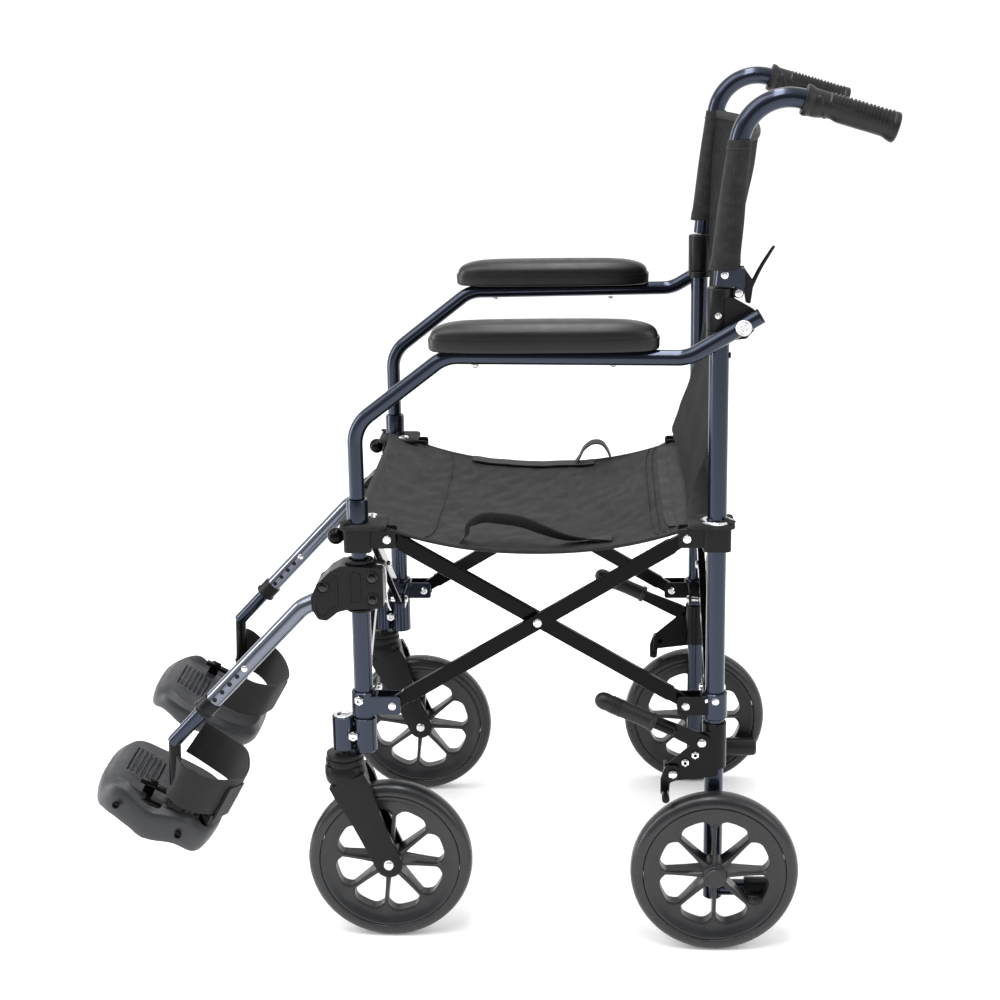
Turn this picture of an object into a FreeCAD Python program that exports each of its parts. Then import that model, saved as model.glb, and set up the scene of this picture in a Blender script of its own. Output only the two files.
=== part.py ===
import FreeCAD, Part
import math
import os

from FreeCAD import Placement, Rotation, Vector

# Transport wheelchair. Millimetres, +Z up, the chair faces -Y and its left side is +X.
# The origin lies on the floor, under the middle of the chair's outer box.

DIMENSIONS = {
    # plan of the frame
    "half_width": 200,
    "rear_line": 246.7,
    "post_pitch": 371,
    "post_radius": 10,
    "post_wall": 1.5,
    "rear_post_low": 46,
    "tip_height": 56,
    "tip_radius": 9,
    "tip_length": 78,
    "front_post_low": 214,
    "front_post_high": 424,
    "guide_radius": 8.2,
    "guide_wall": 1.5,
    "guide_low": 232,
    "guide_high": 480,
    "ferrule_radius": 10.5,
    "ferrule_low": 468,
    "ferrule_tall": 24,
    "plunger_radius": 2.6,
    "knob_radius": 9,
    "knob_lead": 23.5,
    # scissor braces
    "side_reach": 31,
    "low_pivot": 268,
    "pivot_rise": 183,
    "brace_depth": 16,
    "brace_thick": 8,
    "brace_gap": 0.5,
    "pin_radius": 3,
    "pin_room": 0.3,
    "ear_thick": 2.2,
    "ear_tall": 20,
    "sleeve_radius": 13,
    "sleeve_tall": 28,
    "slide_room": 0.3,
    # wheels
    "wheel_radius": 89,
    "wheel_width": 26,
    "tyre_round": 9,
    "rim_radius": 75,
    "rim_depth": 10,
    "hub_radius": 14,
    "hub_width": 30,
    "spoke_count": 8,
    "spoke_width": 7,
    "spoke_thick": 12,
    "rear_track": 27.5,
    "axle_radius": 6,
    "axle_room": 0.05,
    "front_axle_radius": 4,
    # casters
    "caster_lead": 23,
    "caster_trail": 46,
    "housing_radius": 12,
    "housing_low": 216,
    "housing_high": 254,
    "fork_crown": 26,
    "crown_low": 187,
    "crown_high": 212,
    "fork_blade": 5,
    "fork_blade_width": 30,
    # wheel locks
    "lock_low": 196,
    "lock_tall": 52,
    "lock_offset": 10.6,
    "lock_plate": 2,
    "lock_pin_radius": 3.5,
    "lever_thick": 4,
    "lever_arm": 62,
    "lever_grip_start": 55,
    "lever_grip_end": 113,
    "lever_grip_radius": 9.5,
    # armrests
    "arm_radius": 8,
    "arm_wall": 1.5,
    "arm_offset": 22.8,
    "arm_height": 642,
    "arm_bolt_y": 22,
    "arm_bolt_z": 673,
    "arm_bolt_radius": 4,
    "arm_foot": 493,
    "pad_length": 232,
    "pad_width": 52,
    "pad_height": 30,
    "pad_line": 176,
    "pad_offset": 13,
    # back
    "post_top": 666,
    "hinge_top": 709,
    "hinge_radius": 13.2,
    "knuckle_y": 18,
    "knuckle_z": 704,
    "release_y": 21,
    "release_z": 724,
    "cane_top": 909,
    "cane_bend": 48,
    "grip_radius": 14,
    "grip_length": 92,
    "grip_collar_radius": 17,
    "grip_collar": 7,
    # footrests
    "clamp_half": 17,
    "clamp_height": 394,
    "hanger_radius": 9.5,
    "hanger_wall": 1.5,
    "extension_radius": 7.7,
    "plate_pitch": 28,
    "plate_length": 140,
    "plate_width": 150,
    "plate_thick": 12,
    "plate_drop": 16,
    "plate_aft": 18,
    "flip_reach": 578,
    "flip_height": 152,
    "loop_radius": 46,
    "loop_thick": 3,
    "loop_tall": 46,
    # cloth
    "seat_thick": 4,
    "seat_top": 471,
    "seat_sag": 38,
}

doc = FreeCAD.newDocument("transport_wheelchair")
sheet = doc.addObject("Spreadsheet::Sheet", "dims")
for row, (alias, value) in enumerate(DIMENSIONS.items(), start=1):
    sheet.set(f"A{row}", alias)
    sheet.set(f"B{row}", str(value))
    sheet.setAlias(f"B{row}", alias)
doc.recompute()

X_AXIS = Vector(1, 0, 0)
Y_AXIS = Vector(0, 1, 0)
Z_AXIS = Vector(0, 0, 1)
SIDES = {"left": 1, "right": -1}
nodes = []


def dim(alias):
    """The value of one cell of the sheet."""
    return float(sheet.get(alias))


HALF = dim("half_width")
REAR = dim("rear_line")
FRONT = REAR - dim("post_pitch")
LOW = dim("low_pivot")
HIGH = LOW + dim("pivot_rise")
SIDE_REACH = dim("side_reach")
SPAN = dim("post_pitch") - 2 * SIDE_REACH
CROSS_REACH = HALF - SPAN / 2
MIDDLE_Y = (REAR + FRONT) / 2
BRACE_LENGTH = math.hypot(SPAN, dim("pivot_rise"))
BRACE_ANGLE = math.degrees(math.atan2(dim("pivot_rise"), SPAN))


# ---------------------------------------------------------------- building blocks

def bind(solid, prop, size):
    """Set one size of a solid: an expression on the sheet, or a plain number."""
    if isinstance(size, str):
        solid.setExpression(prop, size)
    else:
        setattr(solid, prop, size)


def rod(name, radius, length, base, direction=Z_AXIS):
    """A cylinder from a base point along a direction."""
    solid = doc.addObject("Part::Cylinder", name)
    bind(solid, "Radius", radius)
    bind(solid, "Height", length)
    solid.Placement = Placement(base, Rotation(Z_AXIS, direction))
    return solid


def ball(name, radius, centre):
    solid = doc.addObject("Part::Sphere", name)
    bind(solid, "Radius", radius)
    solid.Placement = Placement(centre, Rotation())
    return solid


def block(name, sizes, centre, turn=Rotation()):
    """A box with its centre at a point, turned about that centre."""
    solid = doc.addObject("Part::Box", name)
    for prop, size in zip(("Length", "Width", "Height"), sizes):
        bind(solid, prop, size)
    doc.recompute()
    half = Vector(solid.Length.Value, solid.Width.Value, solid.Height.Value) * 0.5
    solid.Placement = Placement(centre - turn.multVec(half), turn)
    return solid


def span_block(name, low, high):
    """A box given by its lowest and highest corners."""
    sizes = [high[i] - low[i] for i in range(3)]
    return block(name, sizes, (Vector(*low) + Vector(*high)) * 0.5)


def join(name, solids):
    fused = doc.addObject("Part::MultiFuse", name)
    fused.Shapes = solids
    fused.Refine = False
    return fused


def cut(name, base, tools):
    tool = tools[0] if len(tools) == 1 else join(name + "_tools", tools)
    result = doc.addObject("Part::Cut", name)
    result.Base = base
    result.Tool = tool
    return result


def rounded(name, base, radius, wanted):
    """Fillet the edges of a solid that the wanted test picks."""
    doc.recompute()
    edges = [(i, radius, radius) for i, edge in enumerate(base.Shape.Edges, start=1) if wanted(edge)]
    fillet = doc.addObject("Part::Fillet", name)
    fillet.Base = base
    fillet.Edges = edges
    return fillet


def path(name, points, radius):
    """Straight runs joined by tangent arcs of one radius, as one wire."""
    edges = []
    start = points[0]
    for before, corner, after in zip(points, points[1:], points[2:]):
        into = (corner - before).normalize()
        away = (after - corner).normalize()
        turn = into.getAngle(away)
        reach = radius * math.tan(turn / 2)
        first = corner - into * reach
        last = corner + away * reach
        inward = (away - into).normalize()
        middle = corner + inward * (radius / math.cos(turn / 2) - radius)
        edges.append(Part.LineSegment(start, first).toShape())
        edges.append(Part.Arc(first, middle, last).toShape())
        start = last
    edges.append(Part.LineSegment(start, points[-1]).toShape())
    wire = doc.addObject("Part::Feature", name)
    wire.Shape = Part.Wire(edges)
    return wire


def swept(name, spine, radius):
    """A round bar along a path."""
    section = doc.addObject("Part::Circle", name + "_section")
    bind(section, "Radius", radius)
    first = spine.Shape.Edges[0]
    section.Placement = Placement(first.Vertexes[0].Point, Rotation(Z_AXIS, first.tangentAt(first.FirstParameter)))
    bar = doc.addObject("Part::Sweep", name)
    bar.Sections = [section]
    bar.Spine = (spine, [f"Edge{i + 1}" for i in range(len(spine.Shape.Edges))])
    bar.Solid = True
    bar.Frenet = False
    return bar


def bent_tube(name, points, bend, radius, wall):
    """A round tube of one outer radius and wall along a bent path."""
    spine = path(name + "_path", points, bend)
    outer = swept(name + "_outer", spine, radius)
    inner = swept(name + "_inner", spine, f"{radius} - {wall}")
    return cut(name + "_tube", outer, [inner])


def node(label, solid):
    """Name a finished sub-part."""
    solid.Label = label
    nodes.append(solid)
    return solid


# ---------------------------------------------------------------- corner brackets

def ear_pair(name, post, toward, reach, height):
    """Two ears that hold a brace end and its pin, on the side of a post."""
    across = Vector(abs(toward.y), abs(toward.x), 0)
    ear_room = 0.5
    pin_end = 3
    half_gap = dim("brace_thick") + dim("brace_gap") + ear_room
    thick = dim("ear_thick")
    root = dim("post_radius") / 2
    length = reach + dim("brace_depth") / 2 + 1 - root
    half_pin = half_gap + thick + pin_end
    solids = []
    for index, sign in enumerate((1, -1)):
        middle = post + toward * (root + length / 2)
        middle = middle + across * (sign * (half_gap + thick / 2))
        sizes = [abs(toward.x) * length + abs(toward.y) * thick,
                 abs(toward.y) * length + abs(toward.x) * thick, dim("ear_tall")]
        solids.append(block(f"{name}_ear{index}", sizes, Vector(middle.x, middle.y, height)))
    pin_start = post + toward * reach - across * half_pin
    pin = rod(f"{name}_pin", "dims.pin_radius", 2 * half_pin,
              Vector(pin_start.x, pin_start.y, height), across)
    return solids + [pin]


def corner_bracket(name, side, line, height):
    """The sleeve of one corner with its two pairs of ears."""
    post = Vector(side * HALF, line, 0)
    inward = Vector(-side, 0, 0)
    along = Vector(0, -1 if line > MIDDLE_Y else 1, 0)
    sleeve = rod(f"{name}_sleeve", "dims.sleeve_radius", "dims.sleeve_tall",
                 Vector(post.x, post.y, height - dim("sleeve_tall") / 2))
    return [sleeve] + ear_pair(name + "_side", post, along, SIDE_REACH, height) \
        + ear_pair(name + "_cross", post, inward, CROSS_REACH, height)


def post_bore(name, side, line, low, high, radius):
    return rod(name, radius, high - low, Vector(side * HALF, line, low))


# ---------------------------------------------------------------- posts

def rear_post(name, side):
    """Rear post with its low bracket, wheel axle and tipping tube."""
    x = side * HALF
    axle_length = 48
    bore_low = 120
    tube = rod(name + "_body", "dims.post_radius", "dims.post_top - dims.rear_post_low",
               Vector(x, REAR, dim("rear_post_low")))
    axle = rod(name + "_axle", "dims.axle_radius", axle_length, Vector(x, REAR, dim("wheel_radius")), X_AXIS * side)
    tip = rod(name + "_tip", "dims.tip_radius", "dims.tip_length", Vector(x, REAR, dim("tip_height")), Y_AXIS)
    solid = join(name + "_solid", [tube, axle, tip] + corner_bracket(name, side, REAR, LOW))
    bore = post_bore(name + "_bore", side, REAR, bore_low, dim("post_top") + 1, "dims.post_radius - dims.post_wall")
    node(name, cut(name + "_cut", solid, [bore]))


def front_post(name, side):
    """Front post with its low bracket and the caster housing welded in front of it."""
    x = side * HALF
    low, high = dim("front_post_low"), dim("front_post_high")
    floor_thick = 6
    web_half = 6
    web_inset = 4
    bolt_radius = 4
    bolt_half = 16
    stem = Vector(x, FRONT - dim("caster_lead"), dim("housing_low"))
    tube = rod(name + "_body", "dims.post_radius", "dims.front_post_high - dims.front_post_low",
               Vector(x, FRONT, low))
    housing = rod(name + "_housing", "dims.housing_radius", "dims.housing_high - dims.housing_low", stem)
    web_low, web_high = stem.z + web_inset / 2, dim("housing_high") - web_inset
    web = span_block(name + "_web", (x - web_half, stem.y, web_low), (x + web_half, FRONT, web_high))
    cross_bolt = rod(name + "_cross_bolt", bolt_radius, 2 * bolt_half,
                     Vector(x - bolt_half, (stem.y + FRONT) / 2, (web_low + web_high) / 2), X_AXIS)
    solid = join(name + "_solid", [tube, housing, web, cross_bolt] + corner_bracket(name, side, FRONT, LOW))
    bore = post_bore(name + "_bore", side, FRONT, low + floor_thick, high + 1, "dims.post_radius - dims.post_wall")
    stem_bore = rod(name + "_stem_bore", "dims.axle_radius + dims.axle_room",
                    "dims.housing_high - dims.housing_low + 22", stem - Z_AXIS * 10)
    node(name, cut(name + "_cut", solid, [bore, stem_bore]))


def rear_collar(name, side):
    """Plastic collar that slides up the rear post and carries the seat's rear corner."""
    tall = dim("sleeve_tall")
    solid = join(name + "_solid", corner_bracket(name, side, REAR, HIGH))
    bore = post_bore(name + "_bore", side, REAR, HIGH - tall, HIGH + tall, "dims.post_radius + dims.slide_room")
    node(name, cut(name + "_cut", solid, [bore]))


def front_collar(name, side):
    """Front collar on its guide tube, which telescopes in the front post."""
    x = side * HALF
    guide_low = dim("guide_low")
    pin_hole_room = 0.4
    guide = rod(name + "_guide", "dims.guide_radius", "dims.guide_high - dims.guide_low", Vector(x, FRONT, guide_low))
    ferrule = rod(name + "_ferrule", "dims.ferrule_radius", "dims.ferrule_tall", Vector(x, FRONT, dim("ferrule_low")))
    bracket = corner_bracket(name, side, FRONT, HIGH)
    solid = join(name + "_solid", [guide, ferrule] + bracket)
    bore = post_bore(name + "_bore", side, FRONT, guide_low - 5, dim("ferrule_low") + dim("ferrule_tall") + 5,
                     "dims.guide_radius - dims.guide_wall")
    pin_hole = rod(name + "_pin_hole", f"dims.plunger_radius + {pin_hole_room}", PLUNGER_REACH,
                   plunger_start(x), Y_AXIS)
    node(name, cut(name + "_cut", solid, [bore, pin_hole]))


PLUNGER_REACH = 30
PLUNGER_LIFT = 1


def plunger_start(x):
    """Outer end of the plunger's pin, in front of the front collar."""
    return Vector(x, FRONT - PLUNGER_REACH, HIGH + PLUNGER_LIFT)


def plunger(name, side):
    """Ball knob on a spring pin in the front collar."""
    x = side * HALF
    pin_length = 22
    pin = rod(name + "_pin", "dims.plunger_radius", pin_length, plunger_start(x), Y_AXIS)
    knob = ball(name + "_knob", "dims.knob_radius", Vector(x, FRONT - dim("knob_lead"), HIGH + PLUNGER_LIFT))
    node(name, join(name + "_solid", [pin, knob]))


# ---------------------------------------------------------------- scissor braces

def brace(name, start, end, across, offset):
    """A bar between two pivots, offset to one side of the scissor's plane."""
    depth = dim("brace_depth")
    thick = dim("brace_thick")
    middle = (start + end) * 0.5 + across * offset
    run = (end - start).normalize()
    turn = Rotation(run, Vector(), across, "XZY")
    bar = block(name + "_bar", [BRACE_LENGTH, "dims.brace_depth", "dims.brace_thick"], middle, turn)
    ends = []
    holes = []
    for index, pivot in enumerate((start, end)):
        base = pivot + across * (offset - thick / 2)
        ends.append(rod(f"{name}_end{index}", depth / 2, thick, base, across))
        holes.append(rod(f"{name}_hole{index}", "dims.pin_radius + dims.pin_room", thick + 2, base - across, across))
    return join(name + "_solid", [bar] + ends), holes


def scissor(name, low_a, low_b, across):
    """Two crossing bars: the first rises from low_a, the second from low_b."""
    rise = Vector(0, 0, dim("pivot_rise"))
    offset = dim("brace_gap") + dim("brace_thick") / 2
    centre = (low_a + low_b + rise) * 0.5
    thick = dim("brace_thick")
    solid, holes = brace(name + "_a", low_a, low_b + rise, across, -offset)
    pin_end = 4
    middle_pin = rod(name + "_middle_pin", "dims.pin_radius", 2 * (thick + pin_end),
                     centre - across * (thick + pin_end), across)
    carrier = cut(name + "_a_cut", solid, holes)
    node(name + "_brace_a", join(name + "_a_pinned", [carrier, middle_pin]))
    solid, holes = brace(name + "_b", low_b, low_a + rise, across, offset)
    holes.append(rod(name + "_b_middle", "dims.pin_radius + dims.pin_room", thick + 2,
                     centre + across * (offset - thick / 2 - 1), across))
    node(name + "_brace_b", cut(name + "_b_cut", solid, holes))


def braces():
    rear_low = REAR - SIDE_REACH
    front_low = FRONT + SIDE_REACH
    inner = HALF - CROSS_REACH
    for label, side in SIDES.items():
        x = side * HALF
        scissor(label + "_side", Vector(x, rear_low, LOW), Vector(x, front_low, LOW), X_AXIS * side)
    scissor("rear", Vector(inner, REAR, LOW), Vector(-inner, REAR, LOW), Y_AXIS)
    scissor("front", Vector(inner, FRONT, LOW), Vector(-inner, FRONT, LOW), Y_AXIS)


# ---------------------------------------------------------------- wheels and casters

def wheel(prefix, centre, bore):
    """A spoked rim and its tyre, with the axle along X."""
    width = dim("wheel_width")
    radius = dim("wheel_radius")
    rim_inset = 1.5
    spoke_root = 2
    left_face = centre - X_AXIS * (width / 2)
    disc = rod(prefix + "_tyre_disc", "dims.wheel_radius", "dims.wheel_width", left_face, X_AXIS)
    tyre_hole = rod(prefix + "_tyre_hole", "dims.rim_radius", width + 2, left_face - X_AXIS, X_AXIS)
    ring = cut(prefix + "_tyre_ring", disc, [tyre_hole])
    outer_edge = rounded(prefix + "_tyre_round", ring, dim("tyre_round"),
                         lambda edge: edge.Curve.TypeId == "Part::GeomCircle" and edge.Curve.Radius > radius - 1)
    node(prefix + "_tyre", outer_edge)

    rim_disc = rod(prefix + "_rim_disc", "dims.rim_radius", width - 2 * rim_inset,
                   left_face + X_AXIS * rim_inset, X_AXIS)
    rim_hole = rod(prefix + "_rim_hole", "dims.rim_radius - dims.rim_depth", width + 2, left_face - X_AXIS, X_AXIS)
    rim_ring = cut(prefix + "_rim_ring", rim_disc, [rim_hole])
    half_hub = X_AXIS * (dim("hub_width") / 2)
    hub = rod(prefix + "_hub", "dims.hub_radius", "dims.hub_width", centre - half_hub, X_AXIS)
    spokes = []
    count = int(dim("spoke_count"))
    spoke_length = dim("rim_radius") - dim("rim_depth") - dim("hub_radius") + 2 * spoke_root
    spoke_middle = dim("hub_radius") - spoke_root + spoke_length / 2
    for index in range(count):
        turn = Rotation(X_AXIS, 360.0 / count * index)
        place = centre + turn.multVec(Z_AXIS) * spoke_middle
        sizes = ["dims.spoke_thick", "dims.spoke_width", spoke_length]
        spokes.append(block(f"{prefix}_spoke{index}", sizes, place, turn))
    solid = join(prefix + "_rim_solid", [rim_ring, hub] + spokes)
    hub_bore = rod(prefix + "_hub_bore", bore, "dims.hub_width * 2", centre - half_hub * 2, X_AXIS)
    node(prefix + "_rim", cut(prefix + "_rim_cut", solid, [hub_bore]))


def caster(label, side):
    """Fork with its stem, and the front wheel behind the stem."""
    name = label + "_caster_fork"
    x = side * HALF
    stem = Vector(x, FRONT - dim("caster_lead"), dim("crown_low"))
    axle = Vector(x, stem.y + dim("caster_trail"), dim("wheel_radius"))
    blade = dim("fork_blade")
    inner_face = dim("hub_width") / 2 + 1
    crown_high = dim("crown_high")
    cap_radius, cap_tall = 9, 4
    crown_round = 7
    eye_radius = 15
    axle_end = 4
    blade_lead, blade_lift = 4, 9
    stem_rod = rod(name + "_stem", "dims.axle_radius", "dims.housing_high + 6 - dims.crown_low", stem)
    cap = rod(name + "_cap", cap_radius, cap_tall, Vector(x, stem.y, dim("housing_high") + 1))
    crown = rod(name + "_crown", "dims.fork_crown", "dims.crown_high - dims.crown_low", stem)
    eased = rounded(name + "_crown_round", crown, crown_round, lambda edge: edge.BoundBox.ZMin > crown_high - 1)
    solids = [stem_rod, cap, eased]
    top = stem + Vector(0, blade_lead, blade_lift)
    run = axle - top
    turn = Rotation(X_AXIS, math.degrees(math.atan2(-run.y, run.z)))
    for index, sign in enumerate((1, -1)):
        shift = X_AXIS * (sign * (inner_face + blade / 2))
        solids.append(block(f"{name}_blade{index}", ["dims.fork_blade", "dims.fork_blade_width", run.Length],
                            (top + axle) * 0.5 + shift, turn))
        solids.append(rod(f"{name}_eye{index}", eye_radius, "dims.fork_blade",
                          axle + shift - X_AXIS * (blade / 2), X_AXIS))
    half_axle = inner_face + blade + axle_end
    solids.append(rod(name + "_axle", "dims.front_axle_radius", 2 * half_axle, axle - X_AXIS * half_axle, X_AXIS))
    node(name, join(name + "_solid", solids))
    wheel(label + "_front_wheel", axle, "dims.front_axle_radius + dims.axle_room")


# ---------------------------------------------------------------- wheel locks

LEVER_PIVOT = (-14, 230)
SHOE_PIVOT = (-44, 194)
LEVER_RUN = (-102, 47)
LOCK_PLATE_SPAN = ((-52, 183), (0, 240))
SHOE_WEB_SPAN = ((-57, 172), (-44, 200))
SHOE_BAR = (-52, 174)
LOCK_ROOM = 0.6


def lock_bracket(name, side, face):
    """Sleeve on the rear post, with a plate that carries the lever's and the shoe's pins."""
    pin_length = 12
    thick = dim("lock_plate")
    (low_y, low_z), (high_y, high_z) = LOCK_PLATE_SPAN
    sleeve = rod(name + "_sleeve", "dims.sleeve_radius", "dims.lock_tall", Vector(side * HALF, REAR, dim("lock_low")))
    plate = side_plate(name + "_plate", side, face, thick, (low_y, low_z), (high_y, high_z))
    pins = [rod(f"{name}_{pin}_pin", "dims.lock_pin_radius", pin_length, Vector(face, REAR + y, z), X_AXIS * side)
            for pin, (y, z) in (("lever", LEVER_PIVOT), ("shoe", SHOE_PIVOT))]
    solid = join(name + "_solid", [sleeve, plate] + pins)
    bore = post_bore(name + "_bore", side, REAR, dim("lock_low") - 6, dim("lock_low") + dim("lock_tall") + 12,
                     "dims.post_radius")
    node(name, cut(name + "_cut", solid, [bore]))


def side_plate(name, side, near, thick, low_yz, high_yz):
    """A plate square to X between two corners given as (y from the rear line, z)."""
    far = near + side * thick
    return span_block(name, (min(near, far), REAR + low_yz[0], low_yz[1]),
                      (max(near, far), REAR + high_yz[0], high_yz[1]))


def lock_pin_hole(name, side, pivot):
    """Clearance hole for a lock pin, right through a part that turns on it."""
    return rod(name, "dims.lock_pin_radius + dims.slide_room", 20, pivot - X_AXIS * (side * 8), X_AXIS * side)


def lock_lever(name, side, face):
    """Flat arm with a boss on its pin and a soft grip at its end."""
    boss_radius = 9
    arm_depth = 13
    grip_shift = X_AXIS * (side * 6)
    pivot = Vector(face, REAR + LEVER_PIVOT[0], LEVER_PIVOT[1])
    run = Vector(0, *LEVER_RUN).normalize()
    turn = Rotation(X_AXIS, math.degrees(math.atan2(run.z, run.y)))
    middle = pivot + run * (dim("lever_arm") / 2) + X_AXIS * (side * dim("lever_thick") / 2)
    arm = block(name + "_arm", ["dims.lever_thick", "dims.lever_arm", arm_depth], middle, turn)
    boss = rod(name + "_boss", boss_radius, "dims.lever_thick", pivot, X_AXIS * side)
    grip = rod(name + "_grip", "dims.lever_grip_radius", "dims.lever_grip_end - dims.lever_grip_start",
               pivot + run * dim("lever_grip_start") + grip_shift, run)
    tip = ball(name + "_tip", "dims.lever_grip_radius", pivot + run * dim("lever_grip_end") + grip_shift)
    hole = lock_pin_hole(name + "_hole", side, pivot)
    node(name, cut(name + "_cut", join(name + "_solid", [arm, boss, grip, tip]), [hole]))


def lock_shoe(name, side, face):
    """Pivoting web with the bar that presses on the tyre."""
    boss_radius = 8
    bar_radius, bar_length = 4, 26
    pivot = Vector(face, REAR + SHOE_PIVOT[0], SHOE_PIVOT[1])
    boss = rod(name + "_boss", boss_radius, "dims.lever_thick", pivot, X_AXIS * side)
    web = side_plate(name + "_web", side, face, dim("lever_thick"), *SHOE_WEB_SPAN)
    bar = rod(name + "_bar", bar_radius, bar_length, Vector(face, REAR + SHOE_BAR[0], SHOE_BAR[1]), X_AXIS * side)
    hole = lock_pin_hole(name + "_hole", side, pivot)
    node(name, cut(name + "_cut", join(name + "_solid", [boss, web, bar]), [hole]))


def wheel_lock(label, side):
    """Bracket on the rear post, its hand lever, and the shoe that it presses on the tyre."""
    face = side * (HALF + dim("lock_offset"))
    moving_face = face + side * (dim("lock_plate") + LOCK_ROOM)
    lock_bracket(label + "_lock_bracket", side, face)
    lock_lever(label + "_lock_lever", side, moving_face)
    lock_shoe(label + "_lock_shoe", side, moving_face)


# ---------------------------------------------------------------- back

KNUCKLE_RADIUS = 5
KNUCKLE_HALF = 5.5
ARM_BOLT_HOLE = "dims.arm_bolt_radius + dims.slide_room"


def arm_bolt_at(x):
    return Vector(x, REAR + dim("arm_bolt_y"), dim("arm_bolt_z"))


def knuckle_at(x):
    return Vector(x, REAR + dim("knuckle_y"), dim("knuckle_z"))


def back_hinge(label, side):
    """Hinge sleeve on the post, with the flange that carries the armrest bolt."""
    name = label + "_hinge_sleeve"
    x = side * HALF
    top, seam = dim("hinge_top"), dim("post_top")
    skirt_tall = 8
    flange_half = 14
    flange_gap = 0.6
    flange_front = 6
    half_pin = 12
    sleeve = rod(name + "_sleeve", "dims.hinge_radius", "dims.hinge_top - dims.post_top", Vector(x, REAR, seam))
    skirt = rod(name + "_skirt", "dims.hinge_radius", skirt_tall, Vector(x, REAR, seam - skirt_tall))
    skirt_bore = post_bore(name + "_skirt_bore", side, REAR, seam - skirt_tall - 1, seam, "dims.post_radius")
    bolt = arm_bolt_at(x)
    inner, outer = sorted((x + side * 8, x + side * (dim("arm_offset") - dim("arm_radius") - flange_gap)))
    flange = span_block(name + "_flange", (inner, REAR + flange_front, bolt.z - flange_half),
                        (outer, REAR + flange_front + 2 * flange_half, bolt.z + flange_half))
    knuckle = knuckle_at(x)
    barrel = rod(name + "_barrel", KNUCKLE_RADIUS, 2 * KNUCKLE_HALF, knuckle - X_AXIS * KNUCKLE_HALF, X_AXIS)
    barrel_web = span_block(name + "_barrel_web", (x - KNUCKLE_HALF, REAR + 8, knuckle.z - KNUCKLE_RADIUS),
                            (x + KNUCKLE_HALF, knuckle.y, top - 1))
    knuckle_pin = rod(name + "_knuckle_pin", "dims.pin_radius", 2 * half_pin, knuckle - X_AXIS * half_pin, X_AXIS)
    bolt_hole = rod(name + "_bolt_hole", ARM_BOLT_HOLE, 40, bolt - X_AXIS * 20, X_AXIS)
    relief = span_block(name + "_relief", (x - 9.5, REAR + 15.5, bolt.z - 9), (x + 8, REAR + 40, bolt.z + 17))
    solid = join(name + "_solid", [sleeve, skirt, flange, barrel, barrel_web, knuckle_pin])
    node(name, cut(name + "_cut", solid, [skirt_bore, bolt_hole, relief]))


def cane_points(side):
    """Centre line of one back cane, from its foot to its open end in the grip."""
    x = side * HALF
    foot = Vector(x, REAR + 2.5, dim("hinge_top") + 2)
    top = Vector(x, REAR + 23, dim("cane_top"))
    grip_run = Vector(0, 91, -28).normalize()
    handle_length = 148
    return [foot, top, top + grip_run * handle_length], grip_run


def back_cane(name, side):
    """Bent cane with the two ears of its hinge and the pin of its release lever."""
    points, _ = cane_points(side)
    tube = bent_tube(name, points, dim("cane_bend"), "dims.post_radius", "dims.post_wall")
    x = side * HALF
    knuckle = knuckle_at(x)
    top = dim("hinge_top")
    ear_inner, ear_outer = 6, 9
    ears = []
    for index, sign in enumerate((1, -1)):
        inner, outer = sorted((x + sign * ear_inner, x + sign * ear_outer))
        ears.append(span_block(f"{name}_ear{index}", (inner, REAR + 1, top + 1.2), (outer, knuckle.y + 6, top + 20)))
        ears.append(span_block(f"{name}_lug{index}", (inner, knuckle.y - 2, knuckle.z),
                               (outer, knuckle.y + KNUCKLE_RADIUS, top + 8)))
        ears.append(rod(f"{name}_eye{index}", KNUCKLE_RADIUS, ear_outer - ear_inner,
                        Vector(inner, knuckle.y, knuckle.z), X_AXIS))
    half_pin = 9.5
    release_pin = rod(name + "_release_pin", RELEASE_PIN_RADIUS, 2 * half_pin,
                      release_at(x) - X_AXIS * half_pin, X_AXIS)
    hole = rod(name + "_hole", "dims.pin_radius + dims.pin_room", 30, knuckle - X_AXIS * 15, X_AXIS)
    node(name, cut(name + "_cut", join(name + "_solid", [tube] + ears + [release_pin]), [hole]))


def hand_grip(name, side):
    """Rubber grip pushed over the end of the cane."""
    points, grip_run = cane_points(side)
    depth = dim("grip_length") - 4
    start = points[2] - grip_run * depth
    body = rod(name + "_body", "dims.grip_radius", "dims.grip_length", start, grip_run)
    collar_start = start + grip_run * (dim("grip_length") - dim("grip_collar"))
    collar = rod(name + "_collar", "dims.grip_collar_radius", "dims.grip_collar", collar_start, grip_run)
    bore = rod(name + "_bore", "dims.post_radius", depth, start, grip_run)
    node(name, cut(name + "_cut", join(name + "_solid", [body, collar]), [bore]))


RELEASE_PIN_RADIUS = 2


def release_at(x):
    return Vector(x, REAR + dim("release_y"), dim("release_z"))


def back_release(name, side):
    """Lever behind the hinge that frees the back."""
    pivot = release_at(side * HALF)
    boss_radius = 4.5
    paddle_length, paddle_thick = 40, 4
    run = Vector(0, 30, 26).normalize()
    turn = Rotation(X_AXIS, math.degrees(math.atan2(run.z, run.y)))
    boss = rod(name + "_boss", boss_radius, 2 * KNUCKLE_HALF, pivot - X_AXIS * KNUCKLE_HALF, X_AXIS)
    paddle = block(name + "_paddle", [2 * KNUCKLE_HALF, paddle_length, paddle_thick],
                   pivot + run * (paddle_length / 2 + 2), turn)
    pin_hole = rod(name + "_hole", RELEASE_PIN_RADIUS + 0.3, 30, pivot - X_AXIS * 15, X_AXIS)
    node(name, cut(name + "_cut", join(name + "_solid", [boss, paddle]), [pin_hole]))


# ---------------------------------------------------------------- armrests

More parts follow.
